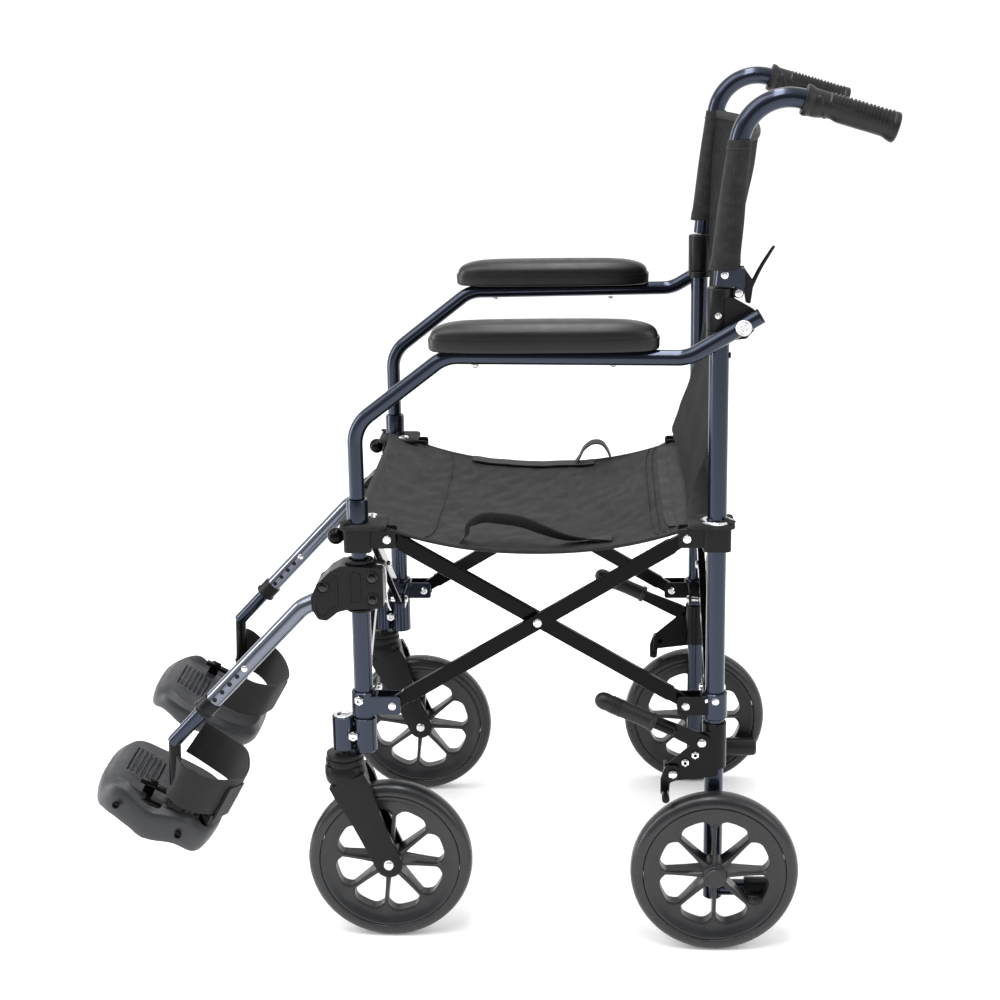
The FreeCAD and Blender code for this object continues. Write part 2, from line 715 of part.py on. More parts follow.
def armrest_points(side):
    """Centre line of the armrest tube, from its rear end to its foot on the front ferrule."""
    outer_x = side * (HALF + dim("arm_offset"))
    level = dim("arm_height")
    rear_tail = Vector(outer_x, REAR + 38, 683)
    rear_bend = Vector(outer_x, REAR - 32, level)
    front_bend = Vector(side * (HALF + 6), REAR - 276, level)
    knee = Vector(side * HALF, FRONT, 569)
    return [rear_tail, rear_bend, front_bend, knee, Vector(knee.x, knee.y, dim("arm_foot"))]


def armrest_tube(name, side):
    bend = 38
    bolt = arm_bolt_at(side * (HALF + dim("arm_offset")))
    tube = bent_tube(name, armrest_points(side), bend, "dims.arm_radius", "dims.arm_wall")
    hole = rod(name + "_hole", ARM_BOLT_HOLE, 30, bolt - X_AXIS * 15, X_AXIS)
    node(name, cut(name + "_cut", tube, [hole]))


def armrest_bolt(name, side):
    """Bolt from the hinge flange through the armrest tube, with its washer, head and nut."""
    bolt = arm_bolt_at(side * (HALF + dim("arm_offset")))
    shank_start, shank_length = -16, 27
    solids = [rod(name + "_shank", "dims.arm_bolt_radius", shank_length,
                  bolt + X_AXIS * (side * shank_start), X_AXIS * side)]
    for part, radius, thick, start in (("washer", 8, 1.6, 8.5), ("head", 5, 4.5, 9), ("nut", 5.5, 3, -18.2)):
        solids.append(rod(f"{name}_{part}", radius, thick, bolt + X_AXIS * (side * start), X_AXIS * side))
    node(name, join(name + "_solid", solids))


def armrest_pad(name, side):
    """Padded rest on top of the tube, with rounded ends and a rounded top edge."""
    end_round, top_round = 25, 9
    rest = dim("arm_height") + dim("arm_radius") + 0.2
    centre = Vector(side * (HALF + dim("pad_offset")), REAR - dim("pad_line"), rest + dim("pad_height") / 2)
    body = block(name + "_body", ["dims.pad_width", "dims.pad_length", "dims.pad_height"], centre)
    upright = rounded(name + "_ends", body, end_round,
                      lambda edge: abs(edge.BoundBox.ZLength - dim("pad_height")) < 0.01)
    node(name, rounded(name + "_top", upright, top_round, lambda edge: edge.BoundBox.ZMin > centre.z + 1))


# ---------------------------------------------------------------- footrests

HANGER_OFFSET = 5
SOCKET_LEAD = 21
HANGER_STEPS = ((0, 0), (-40, -18), (-64, -43), (-148, -131))


def hanger_points(side):
    """Centre line of the footrest hanger, from its socket in the clamp downwards."""
    start = Vector(side * (HALF + HANGER_OFFSET), FRONT - SOCKET_LEAD, dim("clamp_height"))
    return [start + Vector(0, y, z) for y, z in HANGER_STEPS]


def plate_frame(side):
    """A point on the flip axis of the footplate, and its fore and aft direction."""
    pitch = math.radians(dim("plate_pitch"))
    aft = Vector(0, math.cos(pitch), -math.sin(pitch))
    up = Vector(0, math.sin(pitch), math.cos(pitch))
    axis_offset = 12
    return Vector(side * (HALF - axis_offset), REAR - dim("flip_reach"), dim("flip_height")), aft, up


def footrest_clamp(name, side):
    """Plastic clamp that turns on the front post, with its release trigger in front."""
    x = side * HALF
    half = dim("clamp_half")
    height = dim("clamp_height")
    points = hanger_points(side)
    body = span_block(name + "_block", (x - half, FRONT - 26, height - 30), (x + half, FRONT + 31, height + 30))
    trigger = span_block(name + "_trigger", (x - half, FRONT - 49, height - 24), (x + half, FRONT - 26, height + 18))
    bolt_radius, bolt_half = 4, 20
    bolts = [rod(f"{name}_bolt{index}", bolt_radius, 2 * bolt_half,
                 Vector(x - bolt_half, FRONT + 20, height + shift), X_AXIS) for index, shift in enumerate((-13, 13))]
    bore = rod(name + "_bore", "dims.post_radius + dims.slide_room", 80, Vector(x, FRONT, height - 39))
    socket = rod(name + "_socket", "dims.hanger_radius", 62, points[0], points[1] - points[0])
    node(name, cut(name + "_cut", join(name + "_solid", [body, trigger] + bolts), [bore, socket]))


def footrest_hanger(name, side):
    bend = 30
    node(name, bent_tube(name, hanger_points(side), bend, "dims.hanger_radius", "dims.hanger_wall"))


def footrest_tube(name, side):
    """Extension tube in the hanger, with the lug and pin that the footplate flips on."""
    x = side * (HALF + HANGER_OFFSET)
    points = hanger_points(side)
    down = (points[3] - points[2]).normalize()
    axis_point, aft, _ = plate_frame(side)
    overlap, reach, bend = 62, 40, 16
    foot_height = axis_point.z + 2
    tube_points = [points[3] - down * overlap, points[3] + down * reach, Vector(x, axis_point.y, foot_height)]
    tube = bent_tube(name, tube_points, bend, "dims.extension_radius", "dims.hanger_wall")
    half_pin = 46
    pin = rod(name + "_pin", "dims.lock_pin_radius", 2 * half_pin, axis_point - aft * half_pin, aft)
    lug_sizes = [24, 20, 14]
    lug = block(name + "_lug", lug_sizes, Vector((x + axis_point.x) / 2, axis_point.y, foot_height),
                Rotation(X_AXIS, -dim("plate_pitch")))
    node(name, join(name + "_solid", [tube, pin, lug]))


def footplate(name, side):
    """Tilted plate under the flip axis, hung from two bosses on the pin."""
    axis_point, aft, up = plate_frame(side)
    thick = dim("plate_thick")
    drop = dim("plate_drop")
    corner, outer_edge = 38, 15
    boss_radius, boss_length, boss_reach = 7, 16, 34
    turn = Rotation(X_AXIS, -dim("plate_pitch"))
    middle_x = side * (HALF + outer_edge - dim("plate_width") / 2)
    middle = Vector(middle_x, axis_point.y, axis_point.z) - up * drop - aft * dim("plate_aft")
    body = block(name + "_body", ["dims.plate_width", "dims.plate_length", "dims.plate_thick"], middle, turn)
    solids = [rounded(name + "_corners", body, corner, lambda edge: abs(edge.Length - thick) < 0.01)]
    for index, sign in enumerate((1, -1)):
        place = axis_point + aft * (sign * boss_reach)
        solids.append(rod(f"{name}_boss{index}", boss_radius, boss_length, place - aft * (boss_length / 2), aft))
        solids.append(block(f"{name}_rib{index}", [8, boss_length, drop], place - up * (drop / 2), turn))
    hole = rod(name + "_hole", "dims.lock_pin_radius + dims.slide_room", 120, axis_point - aft * 60, aft)
    node(name, cut(name + "_cut", join(name + "_solid", solids), [hole]))


def heel_loop(name, side):
    """Half ring of webbing behind the heel."""
    axis_point, aft, up = plate_frame(side)
    radius = dim("loop_radius")
    inward = 54
    base = axis_point - X_AXIS * (side * inward) - aft * 4 + up * 4
    outer = rod(name + "_outer", "dims.loop_radius + dims.loop_thick", "dims.loop_tall", base, up)
    hollow = rod(name + "_hollow", radius, dim("loop_tall") + 4, base - up * 2, up)
    band = cut(name + "_band", outer, [hollow])
    front_half = block(name + "_front", [140, 80, 60], base - aft * 40 + up * 20,
                       Rotation(X_AXIS, -dim("plate_pitch")))
    node(name, cut(name + "_cut", band, [front_half]))


def footrest(label, side):
    footrest_clamp(label + "_footrest_clamp", side)
    footrest_hanger(label + "_footrest_hanger", side)
    footrest_tube(label + "_footrest_tube", side)
    footplate(label + "_footplate", side)
    heel_loop(label + "_heel_loop", side)


# ---------------------------------------------------------------- cloth

def cloth_sheet(name, half_width, line, thick):
    """A sheet of one width whose middle line, in the YZ plane, is a list of points."""
    sections = []
    for index, point in enumerate(line):
        before = line[max(index - 1, 0)]
        after = line[min(index + 1, len(line) - 1)]
        run = (after - before).normalize()
        normal = Vector(0, -run.z, run.y) * (thick / 2)
        corners = [Vector(-half_width, 0, 0) + point - normal, Vector(half_width, 0, 0) + point - normal,
                   Vector(half_width, 0, 0) + point + normal, Vector(-half_width, 0, 0) + point + normal]
        sections.append(Part.makePolygon(corners + corners[:1]))
    sheet_solid = doc.addObject("Part::Feature", name + "_solid")
    sheet_solid.Shape = Part.makeLoft(sections, True, True)
    node(name, sheet_solid)


BACK_LINE = ((-34, 476), (-22, 540), (-6, 640), (3, 720), (12, 790), (17, 850))


def cloth():
    """The seat sling between the four collars, and the back panel between the two canes."""
    thick = dim("seat_thick")
    edge_inset = 15
    front_edge = FRONT + edge_inset
    rear_edge = REAR - edge_inset
    steps = 8
    line = []
    for index in range(steps + 1):
        share = index / steps
        sag = dim("seat_sag") * (1 - (2 * share - 1) ** 2)
        line.append(Vector(0, front_edge + (rear_edge - front_edge) * share, dim("seat_top") - thick / 2 - sag))
    cloth_sheet("seat_sling", HALF - 12, line, thick)
    panel = [Vector(0, REAR + y, z) for y, z in BACK_LINE]
    cloth_sheet("back_sling", HALF - 14, panel, thick)


# ---------------------------------------------------------------- the chair

for side_name, side_sign in SIDES.items():
    rear_post(side_name + "_rear_post", side_sign)
    front_post(side_name + "_front_post", side_sign)
    rear_collar(side_name + "_rear_collar", side_sign)
    front_collar(side_name + "_front_collar", side_sign)
    plunger(side_name + "_plunger", side_sign)
    wheel(side_name + "_rear_wheel", Vector(side_sign * (HALF + dim("rear_track")), REAR, dim("wheel_radius")),
          "dims.axle_radius + dims.axle_room")
    caster(side_name, side_sign)
    wheel_lock(side_name, side_sign)
    back_hinge(side_name, side_sign)
    back_cane(side_name + "_back_cane", side_sign)
    hand_grip(side_name + "_hand_grip", side_sign)
    back_release(side_name + "_back_release", side_sign)
    armrest_tube(side_name + "_armrest_tube", side_sign)
    armrest_bolt(side_name + "_armrest_bolt", side_sign)
    armrest_pad(side_name + "_armrest_pad", side_sign)
    footrest(side_name, side_sign)
braces()
cloth()
doc.recompute()

for thing in doc.Objects:
    if "Invalid" in thing.State or "Error" in thing.State:
        raise RuntimeError(f"{thing.Name} failed: {thing.State}")
for piece in nodes:
    if piece.Shape.isNull() or not piece.Shape.isValid():
        raise RuntimeError(f"{piece.Label} has no valid shape")

os.makedirs("parts", exist_ok=True)
for piece in nodes:
    piece.Shape.exportStep(f"parts/{piece.Label}.step")
print(len(nodes), "sub-parts written")
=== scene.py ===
import math

import bmesh
import bpy
from mathutils import Matrix, Vector, noise


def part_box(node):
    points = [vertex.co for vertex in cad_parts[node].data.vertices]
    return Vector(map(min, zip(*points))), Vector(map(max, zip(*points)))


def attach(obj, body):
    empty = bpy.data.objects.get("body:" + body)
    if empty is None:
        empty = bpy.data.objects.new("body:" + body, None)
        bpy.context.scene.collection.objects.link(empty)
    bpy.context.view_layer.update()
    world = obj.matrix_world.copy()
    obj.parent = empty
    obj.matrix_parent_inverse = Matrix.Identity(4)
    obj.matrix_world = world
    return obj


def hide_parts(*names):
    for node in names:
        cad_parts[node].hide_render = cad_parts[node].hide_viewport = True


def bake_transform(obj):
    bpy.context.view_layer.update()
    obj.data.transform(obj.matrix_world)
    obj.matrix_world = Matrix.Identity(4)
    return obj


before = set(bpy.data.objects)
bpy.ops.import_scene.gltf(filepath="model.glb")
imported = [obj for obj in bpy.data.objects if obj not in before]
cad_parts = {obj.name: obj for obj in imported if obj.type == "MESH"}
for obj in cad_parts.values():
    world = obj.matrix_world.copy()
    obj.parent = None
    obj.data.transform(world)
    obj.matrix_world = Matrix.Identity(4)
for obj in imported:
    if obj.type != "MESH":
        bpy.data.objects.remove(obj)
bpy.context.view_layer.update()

# Transport wheelchair. Metres, the same frame as the CAD model: the chair faces -Y,
# its left side is +X, and its wheels stand on Z = 0.

X_AXIS = Vector((1, 0, 0))
Y_AXIS = Vector((0, 1, 0))
Z_AXIS = Vector((0, 0, 1))
SIDES = {"left": 1, "right": -1}


def mirrored(side, point):
    """The point given for the left side, on the side asked for."""
    return Vector((side * point[0], point[1], point[2]))


def centre_of(node):
    low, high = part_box(node)
    return (low + high) / 2


# The frame's sizes. They follow the CAD model's dimensions.
POST_RADIUS = 0.010
POST_BORE = 0.0085
SOCKET_RADIUS = 0.0132                          # outside of the sleeves round a post
REAR_POST_FOOT, REAR_POST_TOP = 0.046, 0.666
FRONT_POST_FOOT, FRONT_POST_TOP = 0.214, 0.424
HOUSING_LOW, HOUSING_HIGH = 0.2160, 0.2535      # caster stem's housing, below its cap
GUIDE_LOW, GUIDE_HIGH = 0.232, 0.468            # tube that slides in the front post
TIP_HEIGHT = 0.056                              # tube that stands out behind the rear post
STEM_OFFSET = 0.046                             # caster stem ahead of the front wheel's axle
POST_OFFSET = 0.023                             # front post behind the caster stem
BAR_DEPTH = 0.016
BAR_THICK = 0.008
BAR_OFFSET = 0.0045
SIDE_REACH = 0.031                              # side brace's pivot from the post's axis

# The frame's lines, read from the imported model.
REAR_WHEEL = centre_of("left_rear_wheel_rim")
FRONT_WHEEL = centre_of("left_front_wheel_rim")
WHEEL_RADIUS = REAR_WHEEL.z
HALF = FRONT_WHEEL.x
REAR = REAR_WHEEL.y
STEM = FRONT_WHEEL.y - STEM_OFFSET
FRONT = STEM + POST_OFFSET
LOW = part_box("left_side_brace_a")[0].z + BAR_DEPTH / 2
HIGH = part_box("left_side_brace_a")[1].z - BAR_DEPTH / 2
SPAN = REAR - FRONT - 2 * SIDE_REACH
CROSS_REACH = HALF - SPAN / 2
MIDDLE = (REAR + FRONT) / 2


# ---------------------------------------------------------------- mesh helpers

def grid(mesh, rings, round_closed=True, long_closed=False, cap_first=False, cap_last=False):
    """Faces between rows of points."""
    rows = [[mesh.verts.new(point) for point in ring] for ring in rings]
    pairs = list(zip(rows, rows[1:]))
    if long_closed:
        pairs.append((rows[-1], rows[0]))
    for row, after in pairs:
        count = len(row)
        for i in range(count if round_closed else count - 1):
            j = (i + 1) % count
            mesh.faces.new((row[i], row[j], after[j], after[i]))
    if cap_first:
        mesh.faces.new(rows[0][::-1])
    if cap_last:
        mesh.faces.new(rows[-1])
    return rows


def square_to(axis, hint=None):
    """Two directions square to an axis and to each other."""
    axis = Vector(axis).normalized()
    hint = hint or (Z_AXIS if abs(axis.z) < 0.9 else X_AXIS)
    first = (hint - axis * hint.dot(axis)).normalized()
    return first, axis.cross(first)


def lathe(mesh, profile, centre, axis, segments=40, closed=False):
    """Turn a profile of (distance along, radius) points about an axis."""
    axis = Vector(axis).normalized()
    first, second = square_to(axis)
    rings = []
    for along, radius in profile:
        ring = []
        for i in range(segments):
            angle = math.tau * i / segments
            out = first * math.cos(angle) + second * math.sin(angle)
            ring.append(centre + axis * along + out * radius)
        rings.append(ring)
    grid(mesh, rings, long_closed=closed, cap_first=not closed, cap_last=not closed)


def drum(mesh, centre, axis, radius, low, high, edge=0.0006, segments=40):
    """A solid turned piece with eased edges, from low to high along an axis."""
    lathe(mesh, [(low, radius - edge), (low + edge * 0.3, radius - edge * 0.3), (low + edge, radius),
                 (high - edge, radius), (high - edge * 0.3, radius - edge * 0.3), (high, radius - edge)],
          centre, axis, segments)


def ring_of(mesh, centre, axis, inner, outer, low, high, edge=0.0005, segments=40):
    """A tube with eased edges."""
    lathe(mesh, [(low, inner + edge), (low, outer - edge), (low + edge, outer), (high - edge, outer),
                 (high, outer - edge), (high, inner + edge), (high - edge, inner), (low + edge, inner)],
          centre, axis, segments, closed=True)


def route(points, bend, step=0.1):
    """Straight runs joined by arcs; step is the turn of one facet, in radians."""
    line = [Vector(points[0])]
    for before, corner, after in zip(points, points[1:], points[2:]):
        corner = Vector(corner)
        into = (corner - Vector(before)).normalized()
        away = (Vector(after) - corner).normalized()
        turn = into.angle(away)
        reach = bend * math.tan(turn / 2)
        centre = corner + (away - into).normalized() * (bend / math.cos(turn / 2))
        start = corner - into * reach - centre
        end = corner + away * reach - centre
        count = max(2, math.ceil(turn / step))
        for i in range(count + 1):
            share = i / count
            arm = start * math.sin((1 - share) * turn) + end * math.sin(share * turn)
            line.append(centre + arm / math.sin(turn))
    line.append(Vector(points[-1]))
    return line


def tangent_at(line, i):
    return (line[min(i + 1, len(line) - 1)] - line[max(i - 1, 0)]).normalized()


def frames_along(line, hint=None):
    """A tangent and two side directions at each point of a line, without twist."""
    result = []
    for i in range(len(line)):
        tangent = tangent_at(line, i)
        if not result:
            first, second = square_to(tangent, hint)
        else:
            first = result[-1][1]
            first = (first - tangent * first.dot(tangent)).normalized()
            second = tangent.cross(first)
        result.append((tangent, first, second))
    return result


def sweep(mesh, line, section, hint=None, scale=None):
    """Carry a closed section, a list of (a, b), along a line."""
    rings = []
    for i, (point, (_, first, second)) in enumerate(zip(line, frames_along(line, hint))):
        size = scale(i / (len(line) - 1)) if scale else 1.0
        rings.append([point + first * (a * size) + second * (b * size) for a, b in section])
    grid(mesh, rings, cap_first=True, cap_last=True)


def spline(points, count):
    """A smooth line through points (Catmull-Rom)."""
    points = [Vector(p) for p in points]
    padded = [points[0] * 2 - points[1]] + points + [points[-1] * 2 - points[-2]]
    line = []
    for a, b, c, d in zip(padded, padded[1:], padded[2:], padded[3:]):
        for i in range(count):
            t = i / count
            line.append(0.5 * ((2 * b) + (c - a) * t + (2 * a - 5 * b + 4 * c - d) * t ** 2
                               + (3 * b - a - 3 * c + d) * t ** 3))
    line.append(points[-1])
    return line


def circle(radius, count=28):
    """A round section."""
    return [(radius * math.cos(math.tau * i / count), radius * math.sin(math.tau * i / count))
            for i in range(count)]


def rounded_outline(points, radius, steps=5):
    """A polygon with its corners rounded; radius is one number or one for each corner."""
    outline = []
    count = len(points)
    radii = radius if isinstance(radius, (list, tuple)) else [radius] * count
    for i in range(count):
        corner = Vector(points[i])
        into = (corner - Vector(points[i - 1])).normalized()
        away = (Vector(points[(i + 1) % count]) - corner).normalized()
        turn = into.angle(away)
        size = radii[i]
        if size <= 0 or turn < 0.02:
            outline.append(corner)
            continue
        reach = size * math.tan(turn / 2)
        start = corner - into * reach
        end = corner + away * reach
        for k in range(steps + 1):
            t = k / steps
            outline.append(start * (1 - t) ** 2 + corner * (2 * t * (1 - t)) + end * t ** 2)
    return outline


def prism(mesh, outline, origin, right, up, thick):
    """Extrude a flat outline by thick along right x up, centred on the origin's plane."""
    across = Vector(right).cross(Vector(up)).normalized() * (thick / 2)
    flat = [Vector(origin) + Vector(right) * p[0] + Vector(up) * p[1] for p in outline]
    grid(mesh, [[p - across for p in flat], [p + across for p in flat]], cap_first=True, cap_last=True)


def slab(mesh, centre, sizes, turn=None, corner=0.0):
    """A block; corner rounds its four upright edges."""
    turn = turn or Matrix.Identity(3)
    x, y, z = (s / 2 for s in sizes)
    outline = rounded_outline([(-x, -y), (x, -y), (x, y), (-x, y)], corner)
    prism(mesh, outline, centre, turn @ X_AXIS, turn @ Y_AXIS, z * 2)


def piece(name, mesh, material, body, replaces=None, bevel=0.0, sharp=32, blend=None,
          normals=None):
    """Turn a bmesh into an object that rides on a body; given blend, it is baked into world space and rides
    on no body.

    It stands for the CAD node named by replaces. Its one material slot holds its finish.
    """
    bmesh.ops.recalc_face_normals(mesh, faces=mesh.faces)
    for face in mesh.faces:
        face.smooth = True
    for edge in mesh.edges:
        if len(edge.link_faces) == 2 and edge.calc_face_angle(0.0) > math.radians(sharp):
            edge.smooth = False
    data = bpy.data.meshes.new(name)
    mesh.to_mesh(data)
    mesh.free()
    thing = bpy.data.objects.new(name, data)
    bpy.context.scene.collection.objects.link(thing)
    data.materials.append(material)
    if bevel:
        modifier = thing.modifiers.new("edges", "BEVEL")
        modifier.width = bevel
        modifier.segments = 2
        modifier.limit_method = "ANGLE"
        modifier.angle_limit = math.radians(sharp)
        modifier.harden_normals = True
    if normals:
        data.normals_split_custom_set_from_vertices(normals)
    if blend:
        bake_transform(thing)
    else:
        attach(thing, body)
    if replaces:
        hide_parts(replaces)
    return thing


def smoothstep(low, high, value):
    """From 0 at low to 1 at high, with eased ends."""
    share = max(0.0, min(1.0, (value - low) / (high - low)))
    return share * share * (3 - 2 * share)


def hump(value, centre, width):
    """A bell curve, 1 at its centre."""
    return math.exp(-((value - centre) / width) ** 2)


# ---------------------------------------------------------------- materials

class Finish:
    """One procedural material, put together from a few node groups of its own."""

    def __init__(self, name, colour, roughness, metallic=0.0, coat=0.0, sheen=0.0, coat_roughness=0.1):
        self.material = bpy.data.materials.new(name)
        self.material.use_nodes = True
        self.nodes = self.material.node_tree.nodes
        self.links = self.material.node_tree.links
        self.shader = self.nodes["Principled BSDF"]
        self.colour = (*colour, 1.0)
        self.shader.inputs["Base Color"].default_value = self.colour
        self.shader.inputs["Roughness"].default_value = roughness
        self.shader.inputs["Metallic"].default_value = metallic
        self.shader.inputs["Coat Weight"].default_value = coat
        self.shader.inputs["Coat Roughness"].default_value = coat_roughness
        self.shader.inputs["Sheen Weight"].default_value = sheen
        self.place = self.nodes.new("ShaderNodeTexCoord").outputs["Object"]
        self.normal = None

    def noise(self, scale, detail=3.0, stretch=None):
        place = self.place
        if stretch:
            mapping = self.nodes.new("ShaderNodeMapping")
            mapping.inputs["Scale"].default_value = stretch
            self.links.new(place, mapping.inputs["Vector"])
            place = mapping.outputs["Vector"]
        texture = self.nodes.new("ShaderNodeTexNoise")
        texture.inputs["Scale"].default_value = scale
        texture.inputs["Detail"].default_value = detail
        self.links.new(place, texture.inputs["Vector"])
        return texture.outputs["Fac"]

    def remap(self, value, low, high, start=0.3, end=0.7):
        node = self.nodes.new("ShaderNodeMapRange")
        node.inputs["From Min"].default_value = start
        node.inputs["From Max"].default_value = end
        node.inputs["To Min"].default_value = low
        node.inputs["To Max"].default_value = high
        self.links.new(value, node.inputs["Value"])
        return node.outputs["Result"]

    def tint(self, value, darker, lighter):
        """Vary the colour with a value, between two multiples of the base colour."""
        ramp = self.nodes.new("ShaderNodeValToRGB")
        ramp.color_ramp.elements[0].position = 0.3
        ramp.color_ramp.elements[1].position = 0.7
        ramp.color_ramp.elements[0].color = (*(c * darker for c in self.colour[:3]), 1)
        ramp.color_ramp.elements[1].color = (*(c * lighter for c in self.colour[:3]), 1)
        self.links.new(value, ramp.inputs["Fac"])
        self.links.new(ramp.outputs["Color"], self.shader.inputs["Base Color"])

    def rough(self, value, low, high):
        self.links.new(self.remap(value, low, high), self.shader.inputs["Roughness"])

    def bump(self, value, strength, distance):
        node = self.nodes.new("ShaderNodeBump")
        node.inputs["Strength"].default_value = strength
        node.inputs["Distance"].default_value = distance
        self.links.new(value, node.inputs["Height"])
        if self.normal:
            self.links.new(self.normal, node.inputs["Normal"])
        self.normal = node.outputs["Normal"]
        self.links.new(self.normal, self.shader.inputs["Normal"])

    def wave(self, scale, along, across=None):
        """Bands along one axis, or along the sum of two axes."""
        split = self.nodes.new("ShaderNodeSeparateXYZ")
        self.links.new(self.place, split.inputs["Vector"])
        value = split.outputs[along]
        if across:
            value = self.joined("ADD", value, split.outputs[across])
        combine = self.nodes.new("ShaderNodeCombineXYZ")
        self.links.new(value, combine.inputs["X"])
        texture = self.nodes.new("ShaderNodeTexWave")
        texture.bands_direction = "X"
        texture.inputs["Scale"].default_value = scale
        self.links.new(combine.outputs["Vector"], texture.inputs["Vector"])
        return texture.outputs["Fac"]

    def joined(self, operation, first, second):
        """Add or multiply two values."""
        node = self.nodes.new("ShaderNodeMath")
        node.operation = operation
        self.links.new(first, node.inputs[0])
        self.links.new(second, node.inputs[1])
        return node.outputs["Value"]


def paint(name, colour, roughness, metallic, coat, peel=0.06, gloss=0.5):
    finish = Finish(name, colour, roughness, metallic, coat, coat_roughness=0.06)
    finish.shader.inputs["Specular IOR Level"].default_value = gloss
    flakes = finish.noise(2400, 2)
    finish.tint(flakes, 0.94, 1.06)
    finish.rough(finish.noise(45, 4), roughness * 0.88, roughness * 1.12)
    finish.bump(finish.noise(320, 2), peel, 0.0004)
    return finish.material


def moulded(name, colour, roughness, grain=0.25, gloss=0.28):
    finish = Finish(name, colour, roughness)
    finish.shader.inputs["Specular IOR Level"].default_value = gloss
    finish.tint(finish.noise(28, 5), 0.86, 1.14)
    finish.rough(finish.noise(60, 4), roughness * 0.85, roughness * 1.18)
    finish.bump(finish.noise(1500, 2), grain, 0.0003)
    return finish.material


def leather(name, colour, roughness):
    finish = Finish(name, colour, roughness, coat=0.05, coat_roughness=0.35)
    finish.shader.inputs["Specular IOR Level"].default_value = 0.3
    cells = finish.nodes.new("ShaderNodeTexVoronoi")
    cells.inputs["Scale"].default_value = 700
    finish.links.new(finish.place, cells.inputs["Vector"])
    finish.tint(finish.noise(20, 5), 0.88, 1.12)
    finish.rough(finish.noise(80, 4), roughness * 0.85, roughness * 1.15)
    finish.bump(cells.outputs["Distance"], 0.22, 0.0003)
    finish.bump(finish.noise(45, 3), 0.06, 0.0015)
    return finish.material


def zinc(name, colour, roughness):
    finish = Finish(name, colour, roughness, metallic=1.0)
    finish.tint(finish.noise(260, 3), 0.8, 1.1)
    finish.rough(finish.noise(500, 3), roughness * 0.7, roughness * 1.4)
    finish.bump(finish.noise(900, 2), 0.08, 0.0003)
    return finish.material


def woven(name, colour, thread, sheen):
    """Plain weave: warp across the chair, weft along it."""
    finish = Finish(name, colour, 0.82, sheen=sheen)
    finish.shader.inputs["Sheen Roughness"].default_value = 0.45
    finish.shader.inputs["Specular IOR Level"].default_value = 0.25
    scale = math.tau / 20 / thread
    warp = finish.wave(scale, "X")
    weft = finish.wave(scale, "Y", "Z")
    weave = finish.joined("MULTIPLY", warp, weft)
    heather = finish.noise(130, 4, stretch=(0.35, 1.0, 1.0))
    threads = finish.remap(weave, -0.12, 0.25, 0.0, 1.0)
    finish.tint(finish.joined("ADD", finish.remap(heather, 0.1, 0.75), threads), 0.72, 1.42)
    finish.bump(weave, 0.35, 0.0004)
    finish.bump(finish.noise(90, 4), 0.35, 0.0016)
    return finish.material


def ribbed(name, colour, pitch):
    """Webbing with fine ribs across it."""
    finish = Finish(name, colour, 0.7, sheen=0.06)
    finish.shader.inputs["Specular IOR Level"].default_value = 0.3
    ribs = finish.wave(math.tau / 20 / pitch, "Y", "Z")
    fibres = finish.remap(finish.noise(300, 3), 0.0, 0.3)
    finish.tint(finish.joined("ADD", finish.remap(ribs, 0.1, 0.55, 0, 1), fibres), 0.6, 1.6)
    finish.bump(ribs, 0.5, 0.0006)
    return finish.material


FRAME_PAINT = paint("frame_tube", (0.022, 0.028, 0.045), 0.20, 0.85, 0.22, peel=0.015)
HANGER_PAINT = paint("hanger_tube", (0.13, 0.14, 0.175), 0.16, 0.95, 0.3, peel=0.02)
BRACE_PAINT = paint("brace", (0.0020, 0.0020, 0.0024), 0.14, 0.0, 0.0, peel=0.02, gloss=0.09)
BLACK_PAINT = paint("black_metal", (0.0035, 0.0035, 0.004), 0.22, 0.0, 0.0, peel=0.03, gloss=0.13)
# Black of the clamp screws; the same colour is also painted shade on the dark discs in the recesses round
# them.
SCREW_BLACK_AND_RECESS_SHADE = paint("screw_black_and_recess_shade", (0.0015, 0.0015, 0.0018), 0.10, 0.0, 0.0, peel=0.01, gloss=0.5)
PLASTIC = moulded("plastic", (0.0058, 0.0060, 0.0068), 0.34, gloss=0.17)
PLATE_PLASTIC = moulded("plate_plastic", (0.014, 0.015, 0.018), 0.40, grain=0.3, gloss=0.4)
RIM_PLASTIC = moulded("rim", (0.011, 0.0115, 0.013), 0.34, gloss=0.4)
TYRE_RUBBER = moulded("tyre", (0.013, 0.0135, 0.015), 0.28, grain=0.06, gloss=0.4)
GRIP_RUBBER = moulded("grip", (0.008, 0.008, 0.009), 0.42, grain=0.2)
PAD_SKIN = leather("pad", (0.0055, 0.0057, 0.006), 0.36)
ZINC = zinc("hardware", (0.78, 0.78, 0.79), 0.24)
CLOTH = woven("cloth", (0.0115, 0.0118, 0.0122), 0.0011, 0.05)
WEBBING = ribbed("webbing", (0.007, 0.007, 0.0075), 0.0021)
SLOT_FINISH = {"frame_tube": FRAME_PAINT, "hanger_tube": HANGER_PAINT, "brace": BRACE_PAINT,
               "black_metal": BLACK_PAINT, "plastic": PLASTIC, "rim": RIM_PLASTIC, "tyre": TYRE_RUBBER,
               "grip": GRIP_RUBBER, "pad": PAD_SKIN, "hardware": ZINC, "cloth": CLOTH, "webbing": WEBBING}


def finish_cad_nodes():
    """Give every carried-over CAD node the procedural finish of its material slot."""
    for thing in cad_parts.values():
        old = thing.data.materials[0].name.split(".")[0] if thing.data.materials else "plastic"
        finish = SLOT_FINISH.get(old, PLASTIC)
        thing.data.materials.clear()
        thing.data.materials.append(finish)


# ---------------------------------------------------------------- fasteners

def screw_head(mesh, centre, axis, radius=0.0048, height=0.003):
    """Domed head on a thin washer, with a sunk centre."""
    lathe(mesh, [(0, radius), (height * 0.25, radius), (height * 0.7, radius * 0.86),
                 (height, radius * 0.55), (height, radius * 0.34), (height * 0.72, radius * 0.26),
                 (height * 0.72, radius * 0.02)], centre, axis, 24)


